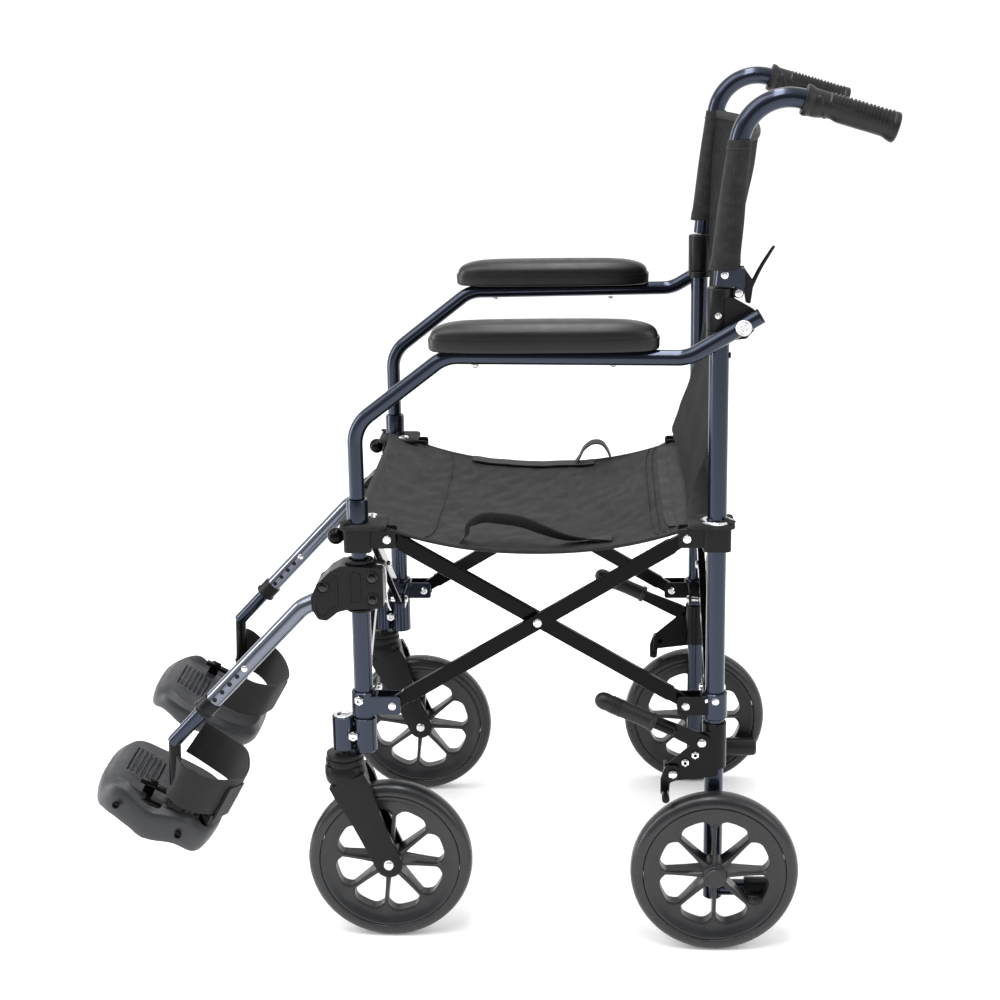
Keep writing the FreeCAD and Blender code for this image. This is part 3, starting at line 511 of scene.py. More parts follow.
def lock_nut(mesh, centre, axis, radius=0.0052, height=0.005):
    """Hexagon nut with the round collar of its locking ring."""
    axis = Vector(axis).normalized()
    first, second = square_to(axis)
    hexagon = [(radius * math.cos(math.tau * i / 6), radius * math.sin(math.tau * i / 6)) for i in range(6)]
    prism(mesh, hexagon, centre + axis * (height * 0.35), first, second, height * 0.7)
    lathe(mesh, [(height * 0.7, radius * 0.84), (height * 0.92, radius * 0.8), (height, radius * 0.66),
                 (height, radius * 0.42), (height * 0.5, radius * 0.38), (height * 0.5, radius * 0.02)],
          centre, axis, 24)


# ---------------------------------------------------------------- wheels

SPOKES = 8


def tyre(name, centre, body, node):
    """Solid tyre turned from half its section, mirrored."""
    mesh = bmesh.new()
    r = WHEEL_RADIUS
    half = [(0.0, r), (0.0045, r - 0.0003), (0.0085, r - 0.0016), (0.0112, r - 0.0042),
            (0.0126, r - 0.0078), (0.0130, r - 0.0108), (0.0129, r - 0.0122), (0.0119, r - 0.0131),
            (0.0100, r - 0.0134)]
    profile = half + [(-x, y) for x, y in reversed(half[1:])]
    lathe(mesh, profile, centre, X_AXIS, 128, closed=True)
    piece(name, mesh, TYRE_RUBBER, body, node, sharp=50)


def rim(name, centre, body, node, phase, cap_side=0):
    """Dished rim ring, eight deep tapered spokes and the hub, with a cap on one side if given."""
    mesh = bmesh.new()
    lip = 0.0595
    half = [(0.0118, 0.0752), (0.0122, 0.0738), (0.0119, 0.0725), (0.0106, 0.0705), (0.0088, 0.0660),
            (0.0080, 0.0625), (0.0078, 0.0608), (0.0070, lip), (0.0, lip)]
    profile = half + [(-x, y) for x, y in reversed(half[:-1])]
    segments = 192
    rings = []
    for i in range(segments):
        angle = math.tau * i / segments
        out = Vector((0, math.sin(angle), math.cos(angle)))
        offset = (angle - phase) / (math.tau / SPOKES)
        offset = abs(offset - round(offset)) * math.tau / SPOKES * lip
        flare = 0.0115 * max(0.0, 1 - offset / 0.0150) ** 2
        ring = []
        for along, radius in profile:
            weight = smoothstep(0.067, lip, radius)
            ring.append(centre + X_AXIS * along + out * (radius - flare * weight))
        rings.append(ring)
    grid(mesh, rings, long_closed=True)
    for index in range(SPOKES):
        angle = phase + math.tau * index / SPOKES
        out = Vector((0, math.sin(angle), math.cos(angle)))
        side = X_AXIS.cross(out)
        rings = []
        for radius, deep, wide in ((0.010, 0.0135, 0.0036), (0.018, 0.0128, 0.0026),
                                   (0.030, 0.0115, 0.0021), (0.045, 0.0098, 0.0019),
                                   (0.051, 0.0090, 0.0021), (0.055, 0.0084, 0.0030),
                                   (0.059, 0.0080, 0.0050), (0.063, 0.0078, 0.0075)):
            edge = wide * 0.62
            section = [(-deep, -edge), (-deep + 0.0012, -wide), (-0.001, -wide * 0.72),
                       (0.001, -wide * 0.72), (deep - 0.0012, -wide), (deep, -edge), (deep, edge),
                       (deep - 0.0012, wide), (0.001, wide * 0.72), (-0.001, wide * 0.72),
                       (-deep + 0.0012, wide), (-deep, edge)]
            rings.append([centre + out * radius + X_AXIS * a + side * b for a, b in section])
        grid(mesh, rings, cap_first=True, cap_last=True)
    hub_half = 0.0148
    lathe(mesh, [(-hub_half, 0.0085), (-hub_half, 0.0118), (-hub_half + 0.0015, 0.0132), (-0.006, 0.0142),
                 (0.006, 0.0142), (hub_half - 0.0015, 0.0132), (hub_half, 0.0118), (hub_half, 0.0085)],
          centre, X_AXIS, 48)
    if cap_side:
        axis = X_AXIS * cap_side
        lathe(mesh, [(0.0125, 0.0118), (0.0140, 0.0128), (0.0175, 0.0128), (0.0188, 0.0118),
                     (0.0192, 0.0098), (0.0196, 0.0092), (0.0205, 0.0086), (0.0208, 0.0060),
                     (0.0208, 0.0004)], centre, axis, 48)
    piece(name, mesh, RIM_PLASTIC, body, node, sharp=38)


def wheels():
    for label, side in SIDES.items():
        rear = Vector((side * REAR_WHEEL.x, REAR, WHEEL_RADIUS))
        front = Vector((side * HALF, FRONT_WHEEL.y, WHEEL_RADIUS))
        tyre(f"{label}_rear_tyre", rear, f"{label}_rear_wheel", f"{label}_rear_wheel_tyre")
        rim(f"{label}_rear_rim", rear, f"{label}_rear_wheel", f"{label}_rear_wheel_rim", 0.0, side)
        tyre(f"{label}_front_tyre", front, f"{label}_front_wheel", f"{label}_front_wheel_tyre")
        rim(f"{label}_front_rim", front, f"{label}_front_wheel", f"{label}_front_wheel_rim", 0.11)


def oval(count, half_y, half_x, power):
    """Points of a superellipse, as (x, y)."""
    points = []
    for i in range(count):
        angle = math.tau * i / count
        c, s = math.cos(angle), math.sin(angle)
        points.append((math.copysign(abs(c) ** (2 / power), c) * half_x,
                       math.copysign(abs(s) ** (2 / power), s) * half_y))
    return points


def caster_fork(label, side):
    """Moulded fork: a collar, deep shoulders over the wheel and two flat blades."""
    mesh = bmesh.new()
    stem = Vector((side * HALF, STEM, 0))
    axle = Vector((side * HALF, FRONT_WHEEL.y, WHEEL_RADIUS))
    drum(mesh, stem, Z_AXIS, 0.0195, 0.2062, 0.2118, 0.001, 48)
    drum(mesh, stem, Z_AXIS, 0.0205, 0.1985, 0.2062, 0.001, 48)
    rings = []
    for z, half_x, half_y, shift in ((0.1990, 0.0200, 0.0200, 0.0), (0.1970, 0.0212, 0.0212, 0.0),
                                     (0.1900, 0.0222, 0.0222, 0.0008), (0.1830, 0.0225, 0.0224, 0.0022),
                                     (0.1795, 0.0222, 0.0215, 0.0040)):
        rings.append([stem + Vector((x, y + shift, z)) for x, y in oval(48, half_y, half_x, 2.6)])
    grid(mesh, rings, cap_first=True, cap_last=True)
    top = stem + Vector((0, 0.0035, 0.1860))
    run = axle - top
    down = run.normalized()
    wide = X_AXIS.cross(down)
    for sign in (1, -1):
        rings = []
        for share, inner, outer, fore, aft in (
                (0.0, 0.0120, 0.0222, 0.0205, 0.0205), (0.14, 0.0145, 0.0226, 0.0200, 0.0215),
                (0.30, 0.0158, 0.0224, 0.0178, 0.0190), (0.48, 0.0160, 0.0217, 0.0160, 0.0165),
                (0.75, 0.0160, 0.0213, 0.0150, 0.0150), (1.0, 0.0160, 0.0212, 0.0145, 0.0145)):
            middle = top + run * share
            ease = 0.0016
            section = [(inner, -fore), (outer - ease * 0.5, -fore), (outer, -fore + ease * 2),
                       (outer, aft - ease * 2), (outer - ease * 0.5, aft), (inner, aft)]
            rings.append([middle + X_AXIS * (sign * a) + wide * b for a, b in section])
        grid(mesh, rings, cap_first=True, cap_last=True)
        lathe(mesh, [(0.0160, 0.0142), (0.0160, 0.0146), (0.0204, 0.0146), (0.0212, 0.0132),
                     (0.0212, 0.0012)], axle, X_AXIS * sign, 48)
    piece(f"{label}_fork", mesh, PLASTIC, f"{label}_caster", f"{label}_caster_fork", sharp=30)

    mesh = bmesh.new()
    for sign in (1, -1):
        screw_head(mesh, axle + X_AXIS * (sign * 0.0211), X_AXIS * sign, 0.0056, 0.0026)
    drum(mesh, axle, X_AXIS, 0.004, -0.021, 0.021)
    drum(mesh, stem, Z_AXIS, 0.0058, 0.2120, 0.2530)
    piece(f"{label}_fork_hardware", mesh, ZINC, f"{label}_caster", sharp=30)


# ---------------------------------------------------------------- posts and corner brackets

def corner_ears(mesh, post, toward, reach, height, thick=0.0022, tall=0.020, gap=0.009):
    """Two flat ears with rounded ends, and the web that joins them at the post."""
    across = Z_AXIS.cross(toward)
    length = reach + 0.0088
    half = tall / 2
    outline = rounded_outline([(0.006, -half), (length, -half), (length, half), (0.006, half)],
                              [0, 0.0035, 0.0035, 0])
    for sign in (1, -1):
        prism(mesh, outline, post + across * (sign * (gap + thick / 2)) + Z_AXIS * height, toward, Z_AXIS,
              thick)
    web = (abs(toward.x) * 0.003 + abs(toward.y) * 2 * gap,
           abs(toward.y) * 0.003 + abs(toward.x) * 2 * gap, tall)
    slab(mesh, post + toward * 0.0135 + Z_AXIS * height, web)


def corner_bolts(mesh, post, toward, reach, height, gap=0.009, thick=0.0022):
    """The pivot bolt of a brace, with a head on each ear."""
    across = Z_AXIS.cross(toward)
    pivot = post + toward * reach + Z_AXIS * height
    for sign in (1, -1):
        face = pivot + across * (sign * (gap + thick))
        screw_head(mesh, face, across * sign)
    drum(mesh, pivot, across, 0.003, -gap, gap)


def corner(mesh, bolts, side, line, height):
    """Both ear pairs of one corner of the frame."""
    post = Vector((side * HALF, line, 0))
    for toward, reach in ((Vector((0, -1 if line > MIDDLE else 1, 0)), SIDE_REACH),
                          (Vector((-side, 0, 0)), CROSS_REACH)):
        corner_ears(mesh, post, toward, reach, height)
        corner_bolts(bolts, post, toward, reach, height)


def rear_post(label, side):
    body = f"{label}_rear_frame"
    post = Vector((side * HALF, REAR, 0))
    mesh = bmesh.new()
    ring_of(mesh, post, Z_AXIS, POST_BORE, POST_RADIUS, REAR_POST_FOOT, REAR_POST_TOP, segments=48)
    drum(mesh, Vector((post.x, REAR, WHEEL_RADIUS)), X_AXIS * side, 0.006, 0.008, 0.0475)
    ring_of(mesh, post, Z_AXIS, POST_RADIUS, SOCKET_RADIUS, LOW - 0.016, LOW + 0.013, 0.001, segments=48)
    tip = Vector((post.x, REAR, TIP_HEIGHT))
    drum(mesh, tip, Y_AXIS, 0.0088, 0.0, 0.050)
    piece(f"{label}_rear_tube", mesh, FRAME_PAINT, body, f"{label}_rear_post")

    mesh = bmesh.new()
    lathe(mesh, [(0.034, 0.0092), (0.034, 0.0108), (0.0355, 0.0114), (0.070, 0.0116), (0.0755, 0.0108),
                 (0.0778, 0.0088), (0.0778, 0.0006)], tip, Y_AXIS, 40)
    piece(f"{label}_tip_cap", mesh, GRIP_RUBBER, body)

    mesh, bolts = bmesh.new(), bmesh.new()
    corner(mesh, bolts, side, REAR, LOW)
    piece(f"{label}_rear_low_bracket", mesh, BLACK_PAINT, body, bevel=0.0005)
    for turn in (0.0, 0.9):
        out = Vector((side * math.cos(turn), -math.sin(turn), 0))
        screw_head(bolts, Vector((post.x, REAR, LOW + 0.006)) + out * 0.0128, out, 0.0042, 0.0026)
    piece(f"{label}_rear_low_bolts", bolts, ZINC, body, sharp=30)


def front_post(label, side):
    body = f"{label}_front_frame"
    post = Vector((side * HALF, FRONT, 0))
    stem = Vector((side * HALF, STEM, 0))
    mesh = bmesh.new()
    ring_of(mesh, post, Z_AXIS, POST_BORE, POST_RADIUS, FRONT_POST_FOOT, FRONT_POST_TOP, segments=48)
    ring_of(mesh, stem, Z_AXIS, 0.0100, 0.0120, HOUSING_LOW, HOUSING_HIGH, 0.0006, segments=48)
    ring_of(mesh, post, Z_AXIS, POST_RADIUS, 0.0124, 0.2140, 0.2520, 0.0008, segments=48)
    ring_of(mesh, post, Z_AXIS, POST_RADIUS, SOCKET_RADIUS, LOW - 0.014, LOW + 0.014, 0.001, segments=48)
    piece(f"{label}_front_tube", mesh, FRAME_PAINT, body, f"{label}_front_post")

    mesh, bolts = bmesh.new(), bmesh.new()
    corner(mesh, bolts, side, FRONT, LOW)
    for z in (0.2200, 0.2450):
        slab(mesh, Vector((post.x, (STEM + FRONT) / 2, z)), (0.010, 0.010, 0.004))
    piece(f"{label}_front_low_bracket", mesh, FRAME_PAINT, body, bevel=0.0006)
    ring_of(bolts, stem, Z_AXIS, 0.0062, 0.0100, 0.2520, 0.2545, 0.0004)
    for sign in (1, -1):
        start = Vector((post.x, (STEM + FRONT) / 2, 0.234))
        lock_nut(bolts, start + X_AXIS * (sign * 0.0105), X_AXIS * sign)
    drum(bolts, Vector((post.x, (STEM + FRONT) / 2, 0.234)), X_AXIS, 0.003, -0.0125, 0.0125)
    out = Vector((side * 0.97, -0.24, 0)).normalized()
    lock_nut(bolts, post + Z_AXIS * (LOW + 0.007) + out * 0.0126, out)
    piece(f"{label}_front_low_bolts", bolts, ZINC, body, sharp=30)


def collar_block(mesh, side, line, height):
    """Moulded collar: a rounded block with a hole for the post."""
    post = Vector((side * HALF, line, 0))
    half, bore = 0.0145, 0.0104
    outer = [Vector((*point, 0)) for point in
             rounded_outline([(-half, -half), (half, -half), (half, half), (-half, half)], 0.006)]
    inner = [point.normalized() * bore for point in outer]
    low, high = post + Z_AXIS * (height - 0.014), post + Z_AXIS * (height + 0.014)
    grid(mesh, [[low + p for p in inner], [low + p for p in outer],
                [high + p for p in outer], [high + p for p in inner]], long_closed=True)


def collars():
    """The sliding collar on each post, and the front ones' guide tubes."""
    for label, side in SIDES.items():
        for end, line in (("rear", REAR), ("front", FRONT)):
            body = f"{label}_{end}_collar"
            post = Vector((side * HALF, line, 0))
            mesh, bolts = bmesh.new(), bmesh.new()
            collar_block(mesh, side, line, HIGH)
            corner(mesh, bolts, side, line, HIGH)
            piece(f"{label}_{end}_collar_block", mesh, PLASTIC, body, body, bevel=0.0009)
            piece(f"{label}_{end}_collar_bolts", bolts, ZINC, body, sharp=30)
            if end == "front":
                mesh = bmesh.new()
                ring_of(mesh, post, Z_AXIS, 0.0067, 0.0082, GUIDE_LOW, GUIDE_HIGH, segments=40)
                lathe(mesh, [(0.4650, 0.0083), (0.4650, 0.0104), (0.4658, 0.0112), (0.4895, 0.0112),
                             (0.4915, 0.0106), (0.4920, 0.0090), (0.4920, 0.0083)], post, Z_AXIS, 48,
                      closed=True)
                piece(f"{label}_guide_tube", mesh, FRAME_PAINT, body)


def plunger(label, side):
    """Ball knob on a tapered neck."""
    mesh = bmesh.new()
    low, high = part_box(f"{label}_plunger")
    centre = Vector((side * HALF, low.y + 0.009, (low.z + high.z) / 2))
    profile = [(-0.0090 * math.cos(math.pi * i / 16), max(0.0003, 0.0090 * math.sin(math.pi * i / 16)))
               for i in range(17)]
    lathe(mesh, profile, centre, Y_AXIS, 40)
    lathe(mesh, [(0.0070, 0.0048), (0.0085, 0.0050), (0.0110, 0.0050), (0.0120, 0.0040), (0.0210, 0.0030)],
          centre, Y_AXIS, 32)
    piece(f"{label}_plunger_knob", mesh, BRACE_PAINT, f"{label}_plunger_pin", f"{label}_plunger",
          sharp=45)


# ---------------------------------------------------------------- scissor braces

def brace_bar(name, body, node, start, end, across, offset):
    """Rectangular bar with shouldered, rounded ends."""
    middle = (start + end) / 2 + across * offset
    run = (end - start).normalized()
    half = (end - start).length / 2
    shoulder, tongue, deep = half - 0.018, 0.0068, BAR_DEPTH / 2
    tip = [(half + tongue * math.cos(a), tongue * math.sin(a)) for a in
           (math.radians(-90 + 18 * i) for i in range(11))]
    one_end = [(shoulder, -deep), (shoulder + 0.002, -tongue)]
    one_end += tip + [(shoulder + 0.002, tongue), (shoulder, deep)]
    mesh = bmesh.new()
    prism(mesh, one_end + [(-x, -y) for x, y in one_end], middle, run, across.cross(run), BAR_THICK)
    piece(name, mesh, BRACE_PAINT, body, node, bevel=0.0020, sharp=30)


def scissor(name, low_a, low_b, across):
    """Two bars crossed between a pair of posts, with their middle rivet."""
    rise = Z_AXIS * (HIGH - LOW)
    body = name.replace("_brace", "_bar")
    brace_bar(f"{name}_bar_a", f"{body}_a", f"{name}_a", low_a, low_b + rise, across, -BAR_OFFSET)
    brace_bar(f"{name}_bar_b", f"{body}_b", f"{name}_b", low_b, low_a + rise, across, BAR_OFFSET)
    centre = (low_a + low_b + rise) / 2
    mesh = bmesh.new()
    for sign in (1, -1):
        screw_head(mesh, centre + across * (sign * (BAR_OFFSET + BAR_THICK / 2)), across * sign, 0.0050,
                   0.0030)
    piece(f"{name}_middle_rivet", mesh, ZINC, f"{body}_a", sharp=30)


def braces():
    rear_low, front_low = REAR - SIDE_REACH, FRONT + SIDE_REACH
    inner = HALF - CROSS_REACH
    for label, side in SIDES.items():
        scissor(f"{label}_side_brace", Vector((side * HALF, rear_low, LOW)),
                Vector((side * HALF, front_low, LOW)), X_AXIS * side)
    scissor("rear_brace", Vector((inner, REAR, LOW)), Vector((-inner, REAR, LOW)), Y_AXIS)
    scissor("front_brace", Vector((inner, FRONT, LOW)), Vector((-inner, FRONT, LOW)), Y_AXIS)


# ---------------------------------------------------------------- armrests

def arm_pad(label, side):
    """Moulded pad: an upright skirt, a seam ledge and a crowned top."""
    low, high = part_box(f"{label}_armrest_pad")
    centre = (low + high) / 2
    half_x, half_y = (high.x - low.x) / 2, (high.y - low.y) / 2
    tall = high.z - low.z
    skirt = 0.0128
    levels = [(0.0, 0.955), (0.0012, 0.985), (0.0030, 0.995), (skirt - 0.0010, 1.0), (skirt, 0.994),
              (skirt + 0.0002, 0.968)]
    for i in range(1, 25):
        share = i / 24
        levels.append((skirt + (tall - skirt) * (1 - (1 - share) ** 2) ** 0.72, 0.968 * (1 - share ** 1.7)))
    mesh = bmesh.new()
    rings = []
    for z, size in levels:
        inset = (1 - size) * half_x
        ring = []
        for x, y in oval(96, half_y - inset * 2.4, max(half_x - inset, 0.0002), 3.4 if size > 0.5 else 2.6):
            ring.append(Vector((centre.x + x, centre.y + y, low.z + z)))
        rings.append(ring)
    grid(mesh, rings, cap_first=True, cap_last=True)
    pad = piece(f"{label}_arm_pad", mesh, PAD_SKIN, f"{label}_armrest", f"{label}_armrest_pad", sharp=60)

    mesh = bmesh.new()
    for end in (1, -1):
        place = Vector((centre.x - side * 0.004, centre.y + half_y * 0.6 * end, low.z - 0.0165))
        lathe(mesh, [(0.0, 0.0038), (-0.0012, 0.0036), (-0.0026, 0.0022), (-0.0026, 0.0003)], place, Z_AXIS,
              20)
    piece(f"{label}_pad_screws", mesh, ZINC, f"{label}_armrest")


GRIP_LENGTH = 0.0935
GRIP_RADIUS = 0.0132
GRIP_RIBS = 24


def hand_grip(label, side):
    """Ribbed rubber grip with a flared end and a finger guard near the cane's bend."""
    low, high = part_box(f"{label}_hand_grip")
    run = Vector((0, 91, -28)).normalized()
    up = X_AXIS.cross(run)
    end = Vector((side * HALF, high.y - 0.0048, low.z + 0.0166))
    start = end - run * GRIP_LENGTH
    mesh = bmesh.new()
    rings = []
    steps = 150
    for i in range(steps + 1):
        share = i / steps
        ring = []
        for k in range(56):
            angle = math.tau * k / 56
            out_up, out_side = math.cos(angle), math.sin(angle)
            radius = GRIP_RADIUS + 0.0020 * (1 - smoothstep(0.03, 0.10, share))
            radius += 0.0030 * smoothstep(0.86, 0.99, share) * (0.65 - 0.35 * out_up)
            fingers = max(0.0, -out_up) * math.sin(share * 15.0)
            radius += 0.0016 * fingers * (1 - smoothstep(0.30, 0.42, share))
            ribs = smoothstep(0.15, 0.55, out_up + 0.35 * share) * smoothstep(0.22, 0.30, share)
            ribs *= 1 - smoothstep(0.93, 0.96, share)
            radius += 0.0009 * ribs * (1 if math.sin(share * math.tau * GRIP_RIBS) > 0 else -0.6)
            crease = abs(share - 0.10 - 0.16 * (0.5 - 0.5 * out_up)) < 0.012 and out_up < 0.6
            radius += 0.0008 * crease
            ring.append(start + run * (GRIP_LENGTH * share) + (up * out_up + X_AXIS * out_side) * radius)
        rings.append(ring)
    last = end + run * 0.0015
    rings.append([last + (p - end) * 0.88 for p in rings[-1]])
    rings.append([last + run * 0.0006 + (p - end) * 0.3 for p in rings[-2]])
    grid(mesh, rings, cap_first=True, cap_last=True)
    piece(f"{label}_rubber_grip", mesh, GRIP_RUBBER, f"{label}_cane", f"{label}_hand_grip", sharp=50)


# ---------------------------------------------------------------- footrests

CLAMP_OUTLINE = ((0.026, 0.421), (0.026, 0.378), (-0.012, 0.3765), (-0.022, 0.374), (-0.027, 0.370),
                 (-0.034, 0.3645), (-0.043, 0.366), (-0.0495, 0.377), (-0.050, 0.390), (-0.044, 0.403),
                 (-0.030, 0.4175), (-0.018, 0.424))
CLAMP_HALF = 0.0172
CLAMP_SCREWS = ((0.0145, 0.411), (0.0145, 0.387), (-0.0372, 0.401))
CLAMP_RIMS = (((-0.0225, 0.4165), (-0.0330, 0.4080), (-0.0440, 0.3940), (-0.0465, 0.3800),
               (-0.0430, 0.3700), (-0.0370, 0.3685), (-0.0320, 0.3750), (-0.0225, 0.3805)),
              ((-0.0090, 0.4160), (-0.0090, 0.3840), (0.0018, 0.3840), (0.0018, 0.4160)))
SPRING_LINE = ((0.0190, 0.4245), (0.0262, 0.4230), (0.0284, 0.4150), (0.0286, 0.3960), (0.0296, 0.3820),
               (0.0325, 0.3740))
HANGER_X = 0.205
HANGER_TOP = Vector((0, -0.085, 0.351))
HANGER_END = Vector((0, -0.169, 0.263))
PLATE_PITCH = math.radians(28)
PLATE_AFT = Vector((0, math.cos(PLATE_PITCH), -math.sin(PLATE_PITCH)))
PLATE_UP = Vector((0, math.sin(PLATE_PITCH), math.cos(PLATE_PITCH)))
FLIP_AXIS = Vector((0.188, REAR - 0.578, 0.152))
PLATE_TURN = Matrix((X_AXIS, PLATE_AFT, PLATE_UP)).transposed()
PLATE_X = 0.140
PLATE_HALF_X, PLATE_HALF_Y = 0.075, 0.070


def raised_rim(mesh, outline, face, radius):
    """A round bead along a closed outline of (y, z) points on a face square to X."""
    rings = []
    for before, point, after in zip(outline[-1:] + outline[:-1], outline, outline[1:] + outline[:1]):
        run = (Vector(after) - Vector(before)).normalized()
        centre = face + Vector((0, point[0], point[1]))
        out = Vector((0, run.y, -run.x))
        rings.append([centre + X_AXIS * a + out * b for a, b in circle(radius, 8)])
    grid(mesh, rings, long_closed=True)


def footrest_clamp(label, side):
    """Moulded clamp round the front post: a body with raised rims on its cheeks and a rounded trigger."""
    body = f"{label}_footrest"
    centre = Vector((side * HALF, FRONT, 0))
    outline = rounded_outline(CLAMP_OUTLINE, 0.004)
    mesh = bmesh.new()
    prism(mesh, outline, centre, Y_AXIS, Z_AXIS, CLAMP_HALF * 2)
    for sign in (1, -1):
        face = centre + X_AXIS * (sign * CLAMP_HALF)
        for rim_line in CLAMP_RIMS:
            raised_rim(mesh, rounded_outline(rim_line, 0.004), face, 0.0013)
        for y, z in CLAMP_SCREWS:
            ring_of(mesh, face + Vector((0, y, z)), X_AXIS * sign, 0.0056, 0.0072, -0.0010, 0.0018,
                    segments=28)
    for z in (0.3735, 0.426):
        ring_of(mesh, centre + Z_AXIS * z, Z_AXIS, 0.0103, 0.0150, -0.0015, 0.0015, segments=40)
    piece(f"{label}_clamp", mesh, PLASTIC, body, f"{label}_footrest_clamp", bevel=0.0006, sharp=35)

    mesh = bmesh.new()
    for sign in (1, -1):
        for y, z in CLAMP_SCREWS:
            face = centre + Vector((sign * CLAMP_HALF, y, z))
            # The thin very dark disc under each screw head is painted shade of the recess round the screw.
            drum(mesh, face, X_AXIS * sign, 0.0058, -0.001, 0.0003, 0.0002, 28)
            screw_head(mesh, face, X_AXIS * sign, 0.0042, 0.0022)
    piece(f"{label}_clamp_screws_and_recess_shade", mesh, SCREW_BLACK_AND_RECESS_SHADE, body, sharp=30)

    mesh = bmesh.new()
    line = [centre + Vector((side * 0.010, y, z)) for y, z in SPRING_LINE]
    sweep(mesh, spline(line, 5), [(a * 2.2, b) for a, b in circle(0.0008, 12)], hint=X_AXIS)
    piece(f"{label}_clamp_spring", mesh, ZINC, body)


def hanger_ends(side):
    """Top and lower end of one hanger's straight run, and the direction down it."""
    foot = Vector((side * HANGER_X, FRONT, 0))
    return foot + HANGER_TOP, foot + HANGER_END, (HANGER_END - HANGER_TOP).normalized()


def hanger_fittings(label, side):
    """Adjustment holes drawn as dark discs of painted shade, a rivet and the black ferrule at the hanger's
    lower end.
    """
    body = f"{label}_footrest"
    top, end, down = hanger_ends(side)
    mesh, rivet = bmesh.new(), bmesh.new()
    for sign in (1, -1):
        for share in (0.56, 0.66, 0.76, 0.86):
            # Each adjustment hole is a flat dark disc on the tube: painted shade inside the hole.
            lathe(mesh, [(0.0084, 0.0026), (0.00962, 0.0026), (0.00962, 0.0002)], top + (end - top) * share,
                  X_AXIS * sign, 18)
        screw_head(rivet, top + (end - top) * 0.46 + X_AXIS * (sign * 0.0092), X_AXIS * sign, 0.0036,
                   0.0022)
    lathe(mesh, [(-0.012, 0.0096), (-0.012, 0.0108), (-0.011, 0.0112), (0.001, 0.0112), (0.002, 0.0124),
                 (0.005, 0.0124), (0.006, 0.0112), (0.006, 0.0080)], end, down, 40, closed=True)
    piece(f"{label}_hanger_ferrule_and_hole_shade", mesh, PLASTIC, body)
    piece(f"{label}_hanger_rivet", rivet, ZINC, body)


def plate_top(p, q):
    """Height of the footplate's face: p is towards the outside and q towards the heel, from its middle."""
    edge = (abs(p / PLATE_HALF_X) ** 3.4 + abs(q / PLATE_HALF_Y) ** 3.4) ** (1 / 3.4)
    height = 0.0055 - 0.0065 * smoothstep(0.88, 1.0, edge)
    height += 0.0042 * hump(q, -0.046, 0.022) * (1 - (p / 0.09) ** 2)
    height -= 0.0055 * smoothstep(-0.052, -0.070, q)
    if -0.048 < q < -0.012 and abs(p + 0.004) < 0.033:
        groove = 0.5 + 0.5 * math.cos((q + 0.048) / 0.006 * math.tau)
        ends = smoothstep(0.033, 0.029, abs(p + 0.004))
        height -= 0.0021 * smoothstep(0.45, 0.75, groove) * ends
    outer = smoothstep(0.050, 0.064, p)
    height += outer * 0.0062 * (hump(q, -0.040, 0.017) + hump(q, 0.030, 0.022))
    height -= outer * 0.0030 * hump(q, -0.004, 0.010)
    if 0.036 < p < 0.054 and 0.000 < q < 0.042:
        height += 0.0016 * smoothstep(0.4, 0.7, 0.5 + 0.5 * math.cos(q / 0.0055 * math.tau))
    dish = math.hypot((p - 0.044) / 0.014, (q - 0.050) / 0.011)
    height -= 0.0050 * smoothstep(1.0, 0.75, dish)
    toe_ribs = hump(q, -0.030, 0.014) * smoothstep(0.034, 0.040, abs(p + 0.004)) * (1 - outer)
    return height - 0.0008 * toe_ribs


